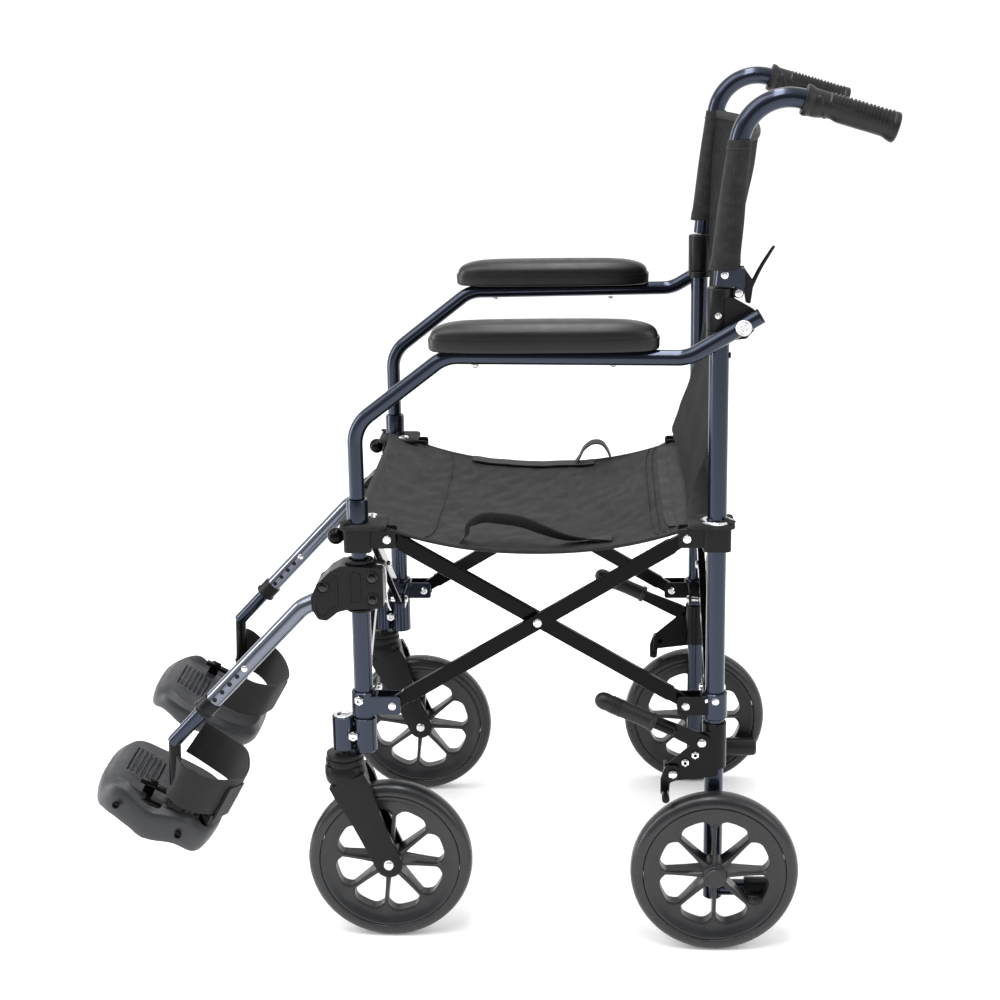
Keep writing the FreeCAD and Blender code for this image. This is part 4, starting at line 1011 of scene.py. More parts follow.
def footplate(label, side):
    """Moulded plate with a grooved face, a raised outer rim and a bulged skirt."""
    body = f"{label}_footplate"
    origin = Vector((side * PLATE_X, *FLIP_AXIS.yz)) - PLATE_UP * 0.016 - PLATE_AFT * 0.018

    def place(p, q, h):
        return origin + X_AXIS * (side * p) + PLATE_AFT * q + PLATE_UP * h

    mesh = bmesh.new()
    count, steps = 200, 60
    outline = oval(count, PLATE_HALF_Y - 0.0015, PLATE_HALF_X - 0.0015, 3.4)
    rings = [[place(x * 0.002, y * 0.002, plate_top(0, 0)) for x, y in outline]]
    for i in range(1, steps + 1):
        share = i / steps
        rings.append([place(x * share, y * share, plate_top(x * share, y * share)) for x, y in outline])
    for out, drop in ((1.012, 0.0016), (1.022, 0.0045), (1.024, 0.0085), (1.012, 0.0150), (0.985, 0.0200),
                      (0.960, 0.0215), (0.930, 0.0205), (0.900, 0.0150)):
        ring = []
        for x, y in outline:
            scallop = 0.0020 * math.sin(math.atan2(y / PLATE_HALF_Y, x / PLATE_HALF_X) * 8)
            deep = 1 + 0.55 * smoothstep(0.2, 0.95, x / PLATE_HALF_X)
            h = plate_top(x, y) - drop * deep - scallop * smoothstep(0.006, 0.018, drop)
            ring.append(place(x * out, y * out, h))
        rings.append(ring)
    grid(mesh, rings, cap_first=True, cap_last=True)
    piece(f"{label}_foot_plate", mesh, PLATE_PLASTIC, body, f"{label}_footplate", sharp=48)

    mesh = bmesh.new()
    for q in (-0.034, 0.034):
        boss = mirrored(side, FLIP_AXIS) + PLATE_AFT * q
        drum(mesh, boss, PLATE_AFT, 0.0058, -0.006, 0.006, 0.001, 32)
        slab(mesh, boss - PLATE_UP * 0.008, (0.0085, 0.0120, 0.016), PLATE_TURN, 0.002)
    # The dark rimmed discs on the skirt are painted shade standing in for holes.
    for q in (-0.040, 0.034):
        spot = place(PLATE_HALF_X * 1.018, q, -0.0105)
        out = (X_AXIS * side - PLATE_UP * 0.10).normalized()
        lathe(mesh, [(-0.001, 0.0040), (0.0015, 0.0040), (0.0015, 0.0028), (-0.0005, 0.0024),
                     (-0.0005, 0.0002)], spot, out, 22)
    # Thin dark slab on the face: painted shade standing in for the slot over the extension's foot.
    slab(mesh, place(0.0600, -0.008, plate_top(0.060, -0.008) + 0.0010), (0.018, 0.024, 0.0016), PLATE_TURN,
         0.002)
    piece(f"{label}_plate_bosses_and_hole_shade", mesh, BRACE_PAINT, body)


def strap(name, line, wide, body, width_along, thick=0.0016, replaces=None):
    """A flat band along a line; width_along gives the direction of its width at each share of the line."""
    mesh = bmesh.new()
    rings = []
    for i, point in enumerate(line):
        tangent = tangent_at(line, i)
        across = width_along(i / (len(line) - 1))
        across = (across - tangent * across.dot(tangent)).normalized()
        out = tangent.cross(across) * (thick / 2)
        half = across * (wide / 2)
        rings.append([point - half - out, point - half * 0.5 - out, point - out, point + half * 0.5 - out,
                      point + half - out, point + half + out, point + half * 0.5 + out, point + out,
                      point - half * 0.5 + out, point - half + out])
    grid(mesh, rings, cap_first=True, cap_last=True)
    thing = piece(name, mesh, WEBBING, body, replaces, bevel=0.0003, sharp=50)


def extension(label, side):
    """Telescoping tube below the hanger, and the hidden foot that carries the plate's pin."""
    body = f"{label}_foot_extension"
    _, end, down = hanger_ends(side)
    x = end.x
    axis = mirrored(side, FLIP_AXIS)
    mesh = bmesh.new()
    lathe(mesh, [(-0.060, 0.0060), (-0.060, 0.0077), (0.0520, 0.0077), (0.0548, 0.0070), (0.0560, 0.0050),
                 (0.0562, 0.0003)], end, down, 40)
    piece(f"{label}_extension_tube", mesh, FRAME_PAINT, body, f"{label}_footrest_tube")
    mesh = bmesh.new()
    sweep(mesh, route([end + down * 0.040, end + down * 0.052, Vector((x, axis.y, axis.z + 0.002))], 0.008),
          circle(0.0066, 24))
    drum(mesh, axis, PLATE_AFT, 0.0035, -0.046, 0.046, 0.0005, 24)
    slab(mesh, Vector(((x + axis.x) / 2, axis.y, axis.z + 0.002)), (0.024, 0.020, 0.014),
         PLATE_TURN, 0.003)
    piece(f"{label}_extension_foot", mesh, BLACK_PAINT, body)


LOOP_PLAN = ((0.196, -0.020), (0.208, -0.017), (0.2155, -0.008), (0.2165, 0.006), (0.212, 0.022),
             (0.198, 0.038), (0.176, 0.048), (0.150, 0.053), (0.122, 0.050), (0.100, 0.039), (0.088, 0.020),
             (0.084, 0.000), (0.084, -0.016))


def heel_loop(label, side):
    """Wide webbing from the front of the tube's foot, outside it and round behind the heel."""
    body = f"{label}_footplate"
    base = Vector((0, FLIP_AXIS.y, FLIP_AXIS.z))

    def place(x, y, h):
        return base + X_AXIS * (side * x) + PLATE_AFT * y + PLATE_UP * h

    count = len(LOOP_PLAN) - 1
    line = []
    for i, (x, y) in enumerate(LOOP_PLAN):
        share = i / count
        rise = 0.0330 - 0.0085 * smoothstep(0.0, 0.45, share)
        line.append(place(x, y + 0.0012 * math.sin(i * 2.2), rise + 0.0014 * math.sin(i * 1.7)))
    strap(f"{label}_heel_band", spline(line, 6), 0.044, body,
          lambda share: PLATE_UP - PLATE_AFT * (0.42 * (1 - smoothstep(0.0, 0.35, share))), 0.0024,
          replaces=f"{label}_heel_loop")
    tail = [place(0.196 - 0.0050 * i, 0.0430 + 0.0016 * i, 0.0185 - 0.0004 * i) for i in range(8)]
    strap(f"{label}_heel_tail", tail, 0.040, body, lambda share: PLATE_UP, 0.0030)


# ---------------------------------------------------------------- wheel locks

LOCK_LOW, LOCK_HIGH = 0.1965, 0.2475
LOCK_OUTLINE = ((0.004, 0.240), (-0.018, 0.240), (-0.024, 0.226), (-0.052, 0.202), (-0.053, 0.186),
                (-0.047, 0.184), (0.004, 0.190))
LOCK_NUTS = ((-0.0205, 0.2145), (-0.031, 0.206))
LEVER_PIVOT = (-0.014, 0.230)
SHOE_PIVOT = (-0.044, 0.194)
LOCK_FACE = 0.0106


def wheel_lock(label, side):
    """Bracket, hand lever with its soft grip, and the shoe over the tyre."""
    post = Vector((side * HALF, REAR, 0))
    face = post + X_AXIS * (side * LOCK_FACE)
    out = X_AXIS * side
    mesh = bmesh.new()
    ring_of(mesh, post, Z_AXIS, POST_RADIUS, 0.0128, LOCK_LOW, LOCK_HIGH, 0.0008, segments=40)
    prism(mesh, rounded_outline(LOCK_OUTLINE, 0.003), face + out * 0.001, Y_AXIS, Z_AXIS, 0.0020)
    flange = rounded_outline([(-0.053, 0.184), (-0.053, 0.204), (-0.050, 0.204), (-0.050, 0.184)], 0.0005)
    prism(mesh, flange, face - out * 0.0045, Y_AXIS, Z_AXIS, 0.011)
    piece(f"{label}_lock_plate", mesh, BLACK_PAINT, f"{label}_rear_frame", f"{label}_lock_bracket",
          bevel=0.0004)
    mesh = bmesh.new()
    for y, z in (LEVER_PIVOT, SHOE_PIVOT):
        screw_head(mesh, face + Vector((side * 0.0078, y, z)), out, 0.0050, 0.0028)
        drum(mesh, face + Vector((0, y, z)), out, 0.0034, 0.0, 0.0080)
    for y, z in LOCK_NUTS:
        lock_nut(mesh, face + Vector((side * 0.0020, y, z)), out, 0.0042, 0.0038)
    piece(f"{label}_lock_bolts", mesh, ZINC, f"{label}_rear_frame", sharp=30)

    run = Vector((0, -102, 47)).normalized()
    pivot = face + Vector((side * 0.0026, *LEVER_PIVOT))
    middle = pivot + out * 0.006
    up = out.cross(run) if side < 0 else run.cross(out)
    mesh = bmesh.new()
    arm = rounded_outline([(-0.009, -0.0085), (0.012, -0.0085), (0.060, -0.0060), (0.060, 0.0060),
                           (0.012, 0.0085), (-0.009, 0.0085)], [0.008, 0.01, 0.002, 0.002, 0.01, 0.008])
    prism(mesh, arm, pivot + out * 0.002, run, up, 0.0036)
    lathe(mesh, [(0.030, 0.0030), (0.033, 0.0058), (0.060, 0.0060), (0.062, 0.0040)], middle, run, 28)
    piece(f"{label}_lever_arm", mesh, BLACK_PAINT, f"{label}_lock_lever", f"{label}_lock_lever",
          bevel=0.0004)
    mesh = bmesh.new()
    profile = [(0.0550, 0.0060), (0.0550, 0.0098), (0.0560, 0.0102), (0.0590, 0.0102), (0.0600, 0.0090),
               (0.0750, 0.0088), (0.0900, 0.0091)]
    for i in range(4):
        start = 0.0935 + 0.0032 * i
        profile += [(start, 0.0096), (start + 0.0016, 0.0096), (start + 0.0020, 0.0089),
                    (start + 0.0028, 0.0089)]
    profile += [(0.1120, 0.0094), (0.1170, 0.0084), (0.1205, 0.0060), (0.1222, 0.0030), (0.1225, 0.0003)]
    lathe(mesh, profile, middle, run, 40)
    piece(f"{label}_lever_grip", mesh, GRIP_RUBBER, f"{label}_lock_lever", sharp=45)

    mesh = bmesh.new()
    shoe = rounded_outline([(-0.052, 0.2035), (-0.037, 0.2035), (-0.037, 0.188), (-0.047, 0.184),
                            (-0.048, 0.171), (-0.057, 0.171), (-0.057, 0.188)],
                           [0.006, 0.006, 0.006, 0.004, 0.002, 0.002, 0.006])
    prism(mesh, shoe, face + out * 0.0046, Y_AXIS, Z_AXIS, 0.0034)
    bar = face + Vector((side * 0.0026, -0.052, 0.174))
    drum(mesh, bar, out, 0.0040, 0.0, 0.0258, 0.0010, 28)
    piece(f"{label}_shoe", mesh, BLACK_PAINT, f"{label}_lock_shoe", f"{label}_lock_shoe", bevel=0.0004)


# ---------------------------------------------------------------- back hinge and armrest bolt

HINGE_LOW, HINGE_TOP = 0.6585, 0.7088
KNUCKLE = (0.018, 0.704)                        # behind the post's axis, and the height
RELEASE_PIVOT = (0.021, 0.724)
RELEASE_BLOCK = ((0.0150, 0.7270), (0.0245, 0.7270), (0.0330, 0.7150), (0.0300, 0.6930), (0.0255, 0.6940),
                 (0.0236, 0.7060), (0.0190, 0.7125))
RELEASE_LINE = ((0.0300, 0.7080), (0.0345, 0.7180), (0.0400, 0.7290), (0.0460, 0.7390), (0.0510, 0.7470),
                (0.0530, 0.7495))
FLANGE_OUTLINE = ((0.004, 0.700), (0.013, 0.700), (0.034, 0.688), (0.034, 0.668), (0.026, 0.659),
                  (0.004, 0.657))


def back_hinge(label, side):
    """Hinge sleeve with its flange and knuckle, on top of the rear post."""
    body = f"{label}_rear_frame"
    post = Vector((side * HALF, REAR, 0))
    out = X_AXIS * side
    mesh = bmesh.new()
    ring_of(mesh, post, Z_AXIS, POST_RADIUS, SOCKET_RADIUS, HINGE_LOW, REAR_POST_TOP, 0.0008, segments=44)
    drum(mesh, post, Z_AXIS, SOCKET_RADIUS, REAR_POST_TOP, HINGE_TOP, 0.0010, 44)
    prism(mesh, rounded_outline(FLANGE_OUTLINE, 0.004), post + out * 0.0111, Y_AXIS, Z_AXIS, 0.0056)
    knuckle = post + Vector((0, *KNUCKLE))
    drum(mesh, knuckle, X_AXIS, 0.0050, -0.0054, 0.0054, 0.0005, 28)
    slab(mesh, post + Vector((0, 0.013, 0.7035)), (0.0105, 0.012, 0.0085))
    piece(f"{label}_hinge_block", mesh, PLASTIC, body, f"{label}_hinge_sleeve", bevel=0.0006)
    mesh = bmesh.new()
    for sign in (1, -1):
        screw_head(mesh, knuckle + X_AXIS * (sign * 0.0100), X_AXIS * sign, 0.0044, 0.0022)
    drum(mesh, knuckle, X_AXIS, 0.003, -0.0105, 0.0105)
    screw_head(mesh, post + out * 0.0130 + Vector((0, -0.002, 0.682)), out, 0.0036, 0.0020)
    piece(f"{label}_hinge_bolts", mesh, ZINC, body)

    cane = f"{label}_cane"
    mesh = bmesh.new()
    screw_head(mesh, post + out * 0.0098 + Vector((0, 0.004, 0.7225)), out, 0.0042, 0.0022)
    piece(f"{label}_cane_rivet", mesh, ZINC, cane)

    mesh = bmesh.new()
    drum(mesh, post + Vector((0, *RELEASE_PIVOT)), X_AXIS, 0.0046, -0.0055, 0.0055, 0.0006, 28)
    prism(mesh, rounded_outline(RELEASE_BLOCK, 0.0015), post, Y_AXIS, Z_AXIS, 0.0120)
    line = spline([post + Vector((0, y, z)) for y, z in RELEASE_LINE], 6)
    sweep(mesh, line, [(x * 2.6, y) for x, y in oval(24, 1.0, 1.0, 3.0)], hint=X_AXIS,
          scale=lambda share: 0.0021 - 0.0009 * share)
    piece(f"{label}_release_lever", mesh, PLASTIC, f"{label}_release", f"{label}_back_release",
          bevel=0.0003, sharp=40)


ARM_OUT = 0.0228                # armrest tube's line outside the post's axis


def armrest_fittings(label, side):
    """Pivot bolt with its washer, and the plug in the tube's open rear end."""
    out = X_AXIS * side
    bolt = Vector((side * (HALF + ARM_OUT), REAR + 0.022, 0.673))
    mesh = bmesh.new()
    ring_of(mesh, bolt, out, 0.0040, 0.0080, 0.0080, 0.0098, 0.0004, segments=40)
    lathe(mesh, [(0.0096, 0.0058), (0.0112, 0.0058), (0.0128, 0.0046), (0.0132, 0.0034), (0.0114, 0.0028),
                 (0.0114, 0.0002)], bolt, out, 32)
    drum(mesh, bolt, out, 0.0040, -0.0160, 0.0098)
    lock_nut(mesh, bolt - out * 0.0150, -out, 0.0056, 0.0036)
    piece(f"{label}_arm_bolt_zinc", mesh, ZINC, f"{label}_arm_bolt", f"{label}_armrest_bolt", sharp=35)

    tail = Vector((side * (HALF + ARM_OUT), REAR + 0.038, 0.683))
    run = Vector((0, 70, 41)).normalized()
    mesh = bmesh.new()
    lathe(mesh, [(-0.004, 0.0062), (0.0002, 0.0064), (0.0002, 0.0081), (0.0016, 0.0080), (0.0022, 0.0066),
                 (0.0022, 0.0003)], tail, run, 36)
    piece(f"{label}_arm_plug", mesh, PLASTIC, f"{label}_armrest")
    mesh = bmesh.new()
    plug = Vector((side * HALF, REAR + 0.0096, 0.640))
    lathe(mesh, [(-0.001, 0.0032), (0.0016, 0.0032), (0.0022, 0.0022), (0.0022, 0.0002)], plug, Y_AXIS, 20)
    piece(f"{label}_post_plug", mesh, PLASTIC, f"{label}_rear_frame")


# ---------------------------------------------------------------- cloth

SEAT_EDGE_Z = 0.4700
EYELET_Z = 0.4672
SEAT_SAG = 0.0375
SEAT_HALF = 0.191
SEAT_REACH = REAR - MIDDLE + 0.004
SEAT_THICK, BACK_THICK = 0.0016, 0.0018
BACK_HALF = 0.188
BACK_BOTTOM, BACK_TOP = 0.472, 0.852
SLEEVE_LOW, SLEEVE_HIGH = 0.727, 0.854
BEND_LOW, BEND_HIGH = 0.690, 0.732              # heights given with the back cloth's blend
BACK_LINE = ((0.476, -0.032), (0.500, -0.024), (0.537, -0.011), (0.572, 0.000), (0.610, 0.0085),
             (0.660, 0.0115), (0.720, 0.0100), (0.790, 0.0120), (0.853, 0.0172))


def seat_height(x, y):
    """Height of the seat cloth: a sling with slack between the corners."""
    across = min(1.0, abs(x) / SEAT_HALF)
    along = max(-1.0, min(1.0, (y - MIDDLE) / (REAR - MIDDLE)))
    sag = SEAT_SAG * (1 - abs(along) ** 2.2)
    sag += 0.008 * (1 - across ** 2) * (1 - along ** 4)
    pull = noise.noise(Vector((x * 9 + y * 3.5, y * 26 - x * 7, 4.2))) * 0.0034
    pull += noise.noise(Vector((x * 30, y * 70 + x * 20, 1.3))) * 0.0019
    calm = (1 - across ** 6) * (1 - along ** 8)
    return SEAT_EDGE_Z - sag + pull * calm


def seat_point(u, v, lift=0.0):
    """A point of the seat from two shares: u across from -1 to 1, v along from -1 (front) to 1 (rear)."""
    corner_pull = abs(v) ** 9
    x = u * (SEAT_HALF + 0.022 * corner_pull)
    reach = SEAT_REACH + 0.012 * abs(u) ** 8
    y = MIDDLE + v * reach
    return Vector((x, y, seat_height(x, y) + lift))


def seat_normal(u, v, step=0.002):
    """Square to the seat's surface, taken across the lines between its quarters."""
    along = seat_point(u, v + step) - seat_point(u, v - step)
    across = seat_point(u + step, v) - seat_point(u - step, v)
    normal = across.cross(along).normalized()
    return normal if normal.z > 0 else -normal


def seat():
    """The seat in four quarters, one on each corner collar, so that the frame can fold."""
    steps = 56
    for label, side in SIDES.items():
        for end, toward in (("front", -1), ("rear", 1)):
            mesh = bmesh.new()
            shares = [(side * i / steps, toward * k / steps)
                      for i in range(steps + 1) for k in range(steps + 1)]
            normals = [seat_normal(u, v) for u, v in shares]
            points = [seat_point(u, v) for u, v in shares]
            layers = []
            for offset in (0.0, -SEAT_THICK):
                layer = [point + normal * offset for point, normal in zip(points, normals)]
                rows = [layer[i * (steps + 1):(i + 1) * (steps + 1)] for i in range(steps + 1)]
                layers.append(grid(mesh, rows, round_closed=False))
            top, under = layers
            for k in range(steps):
                for a, b, c, d in ((top[0][k], top[0][k + 1], under[0][k + 1], under[0][k]),
                                   (top[-1][k], top[-1][k + 1], under[-1][k + 1], under[-1][k]),
                                   (top[k][0], top[k + 1][0], under[k + 1][0], under[k][0]),
                                   (top[k][-1], top[k + 1][-1], under[k + 1][-1], under[k][-1])):
                    mesh.faces.new((a, b, c, d))
            replaced = "seat_sling" if (label, end) == ("left", "rear") else None
            cloth = piece(f"{label}_{end}_seat_cloth", mesh, CLOTH, f"{label}_{end}_collar", replaced,
                          sharp=180, normals=normals + [-normal for normal in normals])

            mesh = bmesh.new()
            line = [seat_point(side, toward * k / 40, -0.0012) for k in range(41)]
            sweep(mesh, line, [(a * 0.45, b) for a, b in circle(0.0042, 12)], hint=Z_AXIS)
            piece(f"{label}_{end}_seat_hem", mesh, CLOTH, f"{label}_{end}_collar")


def back_y(z):
    """The back cloth's place along Y at its edge, at one height."""
    for (z0, y0), (z1, y1) in zip(BACK_LINE, BACK_LINE[1:]):
        if z <= z1:
            share = smoothstep(0, 1, (z - z0) / (z1 - z0)) * 0.3 + 0.7 * max(0.0, (z - z0) / (z1 - z0))
            return REAR + y0 + (y1 - y0) * share
    return REAR + BACK_LINE[-1][1]


def cane_at(side, z):
    """The back cane's centre line at one height."""
    return Vector((side * HALF, REAR + 0.0025 + (z - 0.711) * 0.1035, z))


def sleeve_half(z):
    """Half widths of a cane's sleeve along X and Y at one height."""
    share = (z - SLEEVE_LOW) / (SLEEVE_HIGH - SLEEVE_LOW)
    return 0.0130 - 0.0010 * share, 0.0148 - 0.0030 * share


def back_point(x, z):
    """A point of the back cloth, with its slack and creases."""
    across = min(1.0, abs(x) / BACK_HALF)
    slack = 0.030 * smoothstep(0.60, 0.86, z) + 0.004
    pull = noise.noise(Vector((x * 8, 2.5, z * 18 + x * 6))) * 0.003 * (1 - across ** 4)
    return Vector((x, back_y(z) + slack * (1 - across ** 2) + pull, z))


def back():
    """Each half of the back panel, baked in place between its post and its cane, and the cloth sleeve round
    each cane.
    """
    columns, rows_count = 40, 96
    hinge = REAR + KNUCKLE[0]
    for label, side in SIDES.items():
        mesh = bmesh.new()
        rows = []
        for i in range(rows_count + 1):
            z = BACK_BOTTOM + (BACK_TOP - BACK_BOTTOM) * i / rows_count
            rows.append([back_point(side * BACK_HALF * k / columns, z) for k in range(columns + 1)])
        grid(mesh, rows, round_closed=False)
        bmesh.ops.solidify(mesh, geom=mesh.faces[:], thickness=BACK_THICK)
        cloth = piece(f"{label}_back_cloth", mesh, CLOTH, None, "back_sling" if side > 0 else None,
                      blend=(f"{label}_rear_frame", f"{label}_cane",
                             (0, hinge, BEND_LOW), (0, hinge, BEND_HIGH)))

        mesh = bmesh.new()
        rings = []
        for i in range(31):
            z = SLEEVE_LOW + (SLEEVE_HIGH - SLEEVE_LOW) * i / 30
            centre = cane_at(side, z)
            hem = 0.0006 * (i < 3)
            half_x, half_y = (half + hem for half in sleeve_half(z))
            ring = []
            for k in range(44):
                angle = math.tau * k / 44
                x, y = math.cos(angle) * half_x, math.sin(angle) * half_y
                wobble = noise.noise(Vector((x * 60, y * 60, z * 22))) * 0.0010
                ring.append(centre + Vector((x, y, 0)) * (1 + wobble / 0.013))
            rings.append(ring)
        top_in = [p + (cane_at(side, SLEEVE_HIGH) - p) * 0.16 for p in rings[-1]]
        low_in = [p + (cane_at(side, SLEEVE_LOW) - p) * 0.16 for p in rings[0]]
        grid(mesh, rings + [top_in, low_in], long_closed=True)
        sleeve = piece(f"{label}_cane_sleeve", mesh, CLOTH, f"{label}_cane", sharp=60)


def seat_line(side, y, lift, outer, count=40):
    """Points across one half of the seat at one distance along it."""
    share = (y - MIDDLE) / SEAT_REACH
    return [seat_point(side * outer / SEAT_HALF * k / count, share, lift) for k in range(count + 1)]


def seat_corner(name, post, side, toward, body):
    """Doubled cloth round a post on top of its collar, with the metal eyelet in it."""
    inner, outer, bore = 0.030, 0.0180, 0.0112
    corners = [(-side * inner, -toward * outer), (side * outer, -toward * outer),
               (side * outer, toward * inner), (-side * inner, toward * inner)]
    outline = [Vector((*point, 0)) for point in rounded_outline(corners, 0.007, 8)]
    hole = [point.normalized() * bore for point in outline]
    mesh = bmesh.new()
    levels = ((hole, 1.0, 0.4622), (outline, 0.97, 0.4622), (outline, 1.0, 0.4630),
              (outline, 1.0, 0.4652), (outline, 0.96, 0.4666), (hole, 1.0, 0.4670))
    grid(mesh, [[post + p * size + Z_AXIS * z for p in points] for points, size, z in levels],
         long_closed=True)
    piece(f"{name}_seat_corner", mesh, CLOTH, body, sharp=60)
    mesh = bmesh.new()
    if name.endswith("rear"):
        spot, bore, rim = post, 0.0106, 0.0172
    else:
        spot, bore, rim = post + Vector((-side * 0.0215, toward * 0.0120, 0)), 0.0034, 0.0066
    z = EYELET_Z
    lathe(mesh, [(z - 0.001, bore), (z - 0.001, rim), (z + 0.0004, rim),
                 (z + 0.0018, (bore + rim) / 2 + 0.001), (z + 0.0014, bore + 0.0006), (z - 0.0002, bore)],
          spot, Z_AXIS, 48, closed=True)
    piece(f"{name}_eyelet", mesh, ZINC, body)


def seat_details():
    """Corners and eyelets at the posts, seams across the seat and the webbing channel."""
    for label, side in SIDES.items():
        for end, line, toward in (("rear", REAR, -1), ("front", FRONT, 1)):
            post = Vector((side * HALF, line, 0))
            seat_corner(f"{label}_{end}", post, side, toward, f"{label}_{end}_collar")
        for tag, y, width, outer, body in (("front_seam", FRONT + 0.075, 0.0012, 0.186, "front"),
                                           ("rear_seam_a", REAR - 0.066, 0.0012, 0.186, "rear"),
                                           ("rear_seam_b", REAR - 0.059, 0.0012, 0.186, "rear"),
                                           ("rear_channel", REAR - 0.046, 0.0120, 0.172, "rear")):
            mesh = bmesh.new()
            section = ((-0.5, -0.0008), (-0.5, 0.0003), (0, 0.0006), (0.5, 0.0003), (0.5, -0.0008))
            rings = [[point + Vector((0, a * width, b)) for a, b in section]
                     for point in seat_line(side, y, 0.0009, outer)]
            grid(mesh, rings, cap_first=True, cap_last=True)
            piece(f"{label}_seat_{tag}", mesh, WEBBING if width > 0.01 else CLOTH, f"{label}_{body}_collar")


def seat_handles():
    """Pull handle on the near side, and the sewn band with its loop on the far side."""
    def on_seat(x, y, rise):
        return Vector((x, y, seat_height(x, y) + rise))

    near = [on_seat(0.172, -0.020, 0.0015), on_seat(0.172, -0.014, 0.008), on_seat(0.173, -0.010, 0.020),
            on_seat(0.171, 0.004, 0.029), on_seat(0.168, 0.024, 0.029), on_seat(0.166, 0.045, 0.025),
            on_seat(0.163, 0.068, 0.017), on_seat(0.161, 0.090, 0.009), on_seat(0.160, 0.112, 0.004),
            on_seat(0.160, 0.139, 0.0022)]
    strap("left_seat_handle", spline(near, 6), 0.024, "left_rear_collar",
          lambda share: X_AXIS + Z_AXIS * (0.9 * math.sin(share * math.pi)))
    band = [on_seat(-0.179, -0.028 + 0.148 * i / 30, 0.0020) for i in range(31)]
    strap("right_seat_band", band, 0.024, "right_rear_collar", lambda share: X_AXIS)
    loop = [on_seat(-0.180, 0.098, 0.0030), on_seat(-0.182, 0.103, 0.010), on_seat(-0.183, 0.108, 0.019),
            on_seat(-0.183, 0.118, 0.025), on_seat(-0.183, 0.129, 0.023), on_seat(-0.182, 0.136, 0.014),
            on_seat(-0.181, 0.140, 0.0040)]
    strap("right_seat_loop", spline(loop, 6), 0.022, "right_rear_collar", lambda share: X_AXIS)


def back_hems():
    """Folded hem along the top of the back panel and the stitched line above each sleeve's lower edge."""
    for label, side in SIDES.items():
        line = [back_point(side * 0.186 * k / 30, 0.851) for k in range(31)]
        mesh = bmesh.new()
        sweep(mesh, line, [(a * 0.5, b * 1.4) for a, b in circle(0.0034, 14)], hint=Y_AXIS)
        piece(f"{label}_back_hem", mesh, CLOTH, f"{label}_cane")
        mesh = bmesh.new()
        for z in (0.7355, 0.8460):
            centre = cane_at(side, z)
            half_x, half_y = sleeve_half(z)
            rings = []
            for k in range(44):
                angle = math.tau * k / 44
                out = Vector((math.cos(angle), math.sin(angle), 0))
                spot = centre + Vector((math.cos(angle) * half_x, math.sin(angle) * half_y, 0))
                rings.append([spot + out * (0.0006 * a) + Z_AXIS * (0.0006 * b)
                              for a, b in ((1, 0), (0, 1), (-1, 0), (0, -1))])
            grid(mesh, rings, long_closed=True)
        piece(f"{label}_sleeve_seams", mesh, WEBBING, f"{label}_cane")


# ---------------------------------------------------------------- camera and light

def look(camera, yaw, pitch, roll):
    """Turn the camera: yaw from -X towards +Y, pitch below the horizon, roll about its view."""
    forward = Vector((-math.cos(yaw) * math.cos(pitch), math.sin(yaw) * math.cos(pitch), -math.sin(pitch)))
    right = Vector((math.sin(yaw), math.cos(yaw), 0))
    up = right.cross(forward)
    side = right * math.cos(roll) + up * math.sin(roll)
    top = up * math.cos(roll) - right * math.sin(roll)
    turn = Matrix((side, top, -forward)).transposed()
    camera.rotation_mode = "QUATERNION"
    camera.rotation_quaternion = turn.to_quaternion()


CAMERA_PLACE = (2.16993, 0.12404, 1.02066)
CAMERA_YAW, CAMERA_PITCH, CAMERA_ROLL = -0.0508857, 0.2628042, -0.0162458       # radians
CAMERA_LENS, CAMERA_SENSOR = 71.36, 36                                          # millimetres


def camera():
    """The photo's view."""
    data = bpy.data.cameras.new("camera")
    data.lens = CAMERA_LENS
    data.sensor_width = CAMERA_SENSOR
    data.clip_end = 50
    thing = bpy.data.objects.new("camera", data)
    bpy.context.scene.collection.objects.link(thing)
    thing.location = CAMERA_PLACE
    look(thing, CAMERA_YAW, CAMERA_PITCH, CAMERA_ROLL)
    bpy.context.scene.camera = thing


def area_light(name, location, target, size, power):
    data = bpy.data.lights.new(name, "AREA")
    data.shape = "RECTANGLE"
    data.size, data.size_y = size
    data.energy = power
    thing = bpy.data.objects.new(name, data)
    bpy.context.scene.collection.objects.link(thing)
    thing.location = location
    thing.rotation_mode = "QUATERNION"
    thing.rotation_quaternion = (Vector(target) - Vector(location)).to_track_quat("-Z", "Y")


FLOOR_HALF = 40


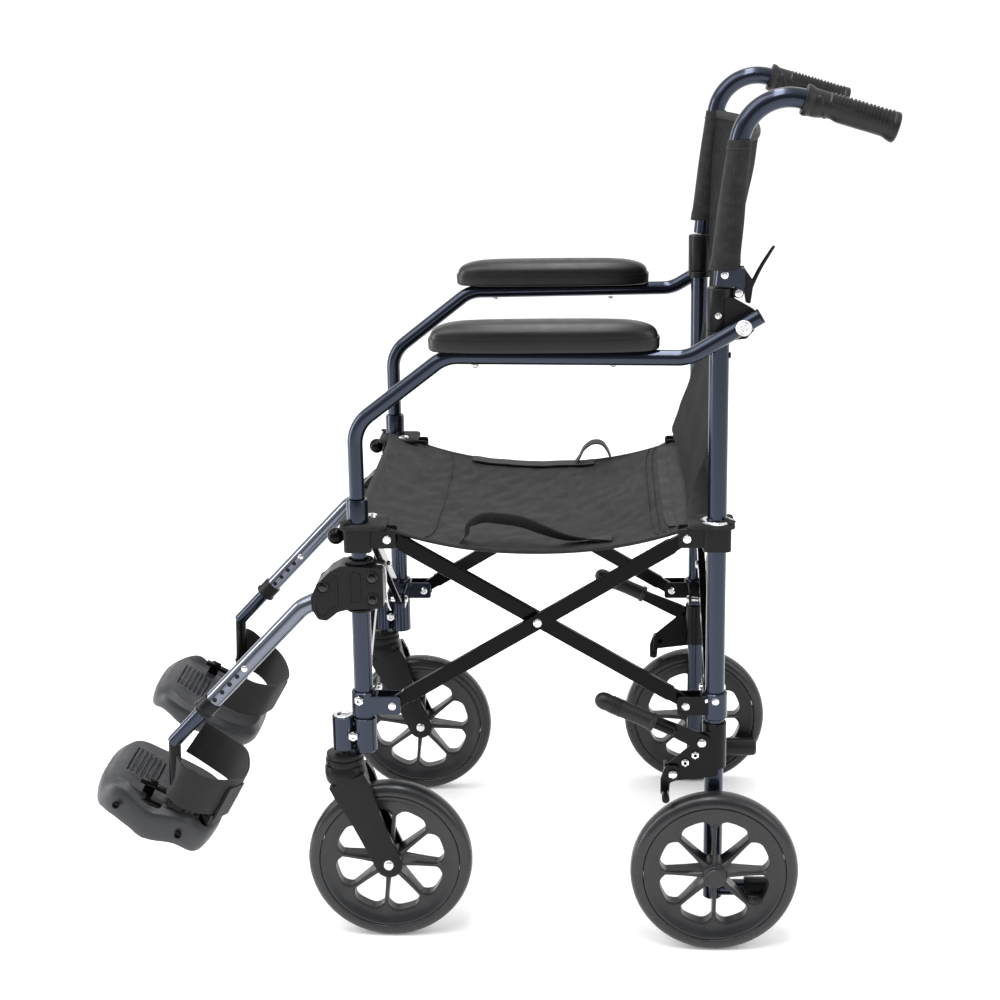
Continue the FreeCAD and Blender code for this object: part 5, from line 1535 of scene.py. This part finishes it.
def studio():
    """White floor, a background that darkens towards the camera, and four area lights."""
    mesh = bpy.data.meshes.new("floor")
    half = FLOOR_HALF
    mesh.from_pydata([(-half, -half, 0), (half, -half, 0), (half, half, 0), (-half, half, 0)], [],
                     [(0, 1, 2, 3)])
    floor = bpy.data.objects.new("floor", mesh)
    bpy.context.scene.collection.objects.link(floor)
    finish = Finish("floor", (0.93, 0.93, 0.93), 0.7)
    finish.tint(finish.noise(3, 2), 0.995, 1.0)
    finish.shader.inputs["Emission Color"].default_value = (1, 1, 1, 1)
    finish.shader.inputs["Emission Strength"].default_value = 0.14
    mesh.materials.append(finish.material)

    world = bpy.data.worlds.new("studio")
    bpy.context.scene.world = world
    world.use_nodes = True
    nodes, links = world.node_tree.nodes, world.node_tree.links
    background = nodes["Background"]
    place = nodes.new("ShaderNodeTexCoord")
    split = nodes.new("ShaderNodeSeparateXYZ")
    links.new(place.outputs["Generated"], split.inputs["Vector"])
    shade = nodes.new("ShaderNodeMapRange")
    shade.inputs["From Min"].default_value = 0.35
    shade.inputs["From Max"].default_value = 0.95
    shade.inputs["To Min"].default_value = 1.10
    shade.inputs["To Max"].default_value = 0.22
    links.new(split.outputs["X"], shade.inputs["Value"])
    links.new(shade.outputs["Result"], background.inputs["Strength"])
    background.inputs["Color"].default_value = (1, 1, 1, 1)

    area_light("key", (0.9, -1.5, 2.9), (0, 0, 0.3), (2.2, 2.2), 55)
    area_light("fill", (1.4, 2.2, 1.6), (0, 0.1, 0.4), (1.2, 1.8), 16)
    area_light("overhead", (0.35, 0.1, 2.6), (0.1, 0.1, 0.4), (0.35, 3.0), 44)
    area_light("rim", (0.2, -2.6, 1.0), (0, 0, 0.5), (0.5, 2.0), 40)
    bpy.context.scene.view_settings.view_transform = "Standard"
    bpy.context.scene.view_settings.look = "None"


camera()
studio()
finish_cad_nodes()
wheels()
for side_name, side_sign in SIDES.items():
    caster_fork(side_name, side_sign)
    rear_post(side_name, side_sign)
    front_post(side_name, side_sign)
    plunger(side_name, side_sign)
    arm_pad(side_name, side_sign)
    hand_grip(side_name, side_sign)
    footrest_clamp(side_name, side_sign)
    hanger_fittings(side_name, side_sign)
    footplate(side_name, side_sign)
    extension(side_name, side_sign)
    heel_loop(side_name, side_sign)
    wheel_lock(side_name, side_sign)
    back_hinge(side_name, side_sign)
    armrest_fittings(side_name, side_sign)
collars()
braces()
seat()
seat_details()
seat_handles()
back()
back_hems()
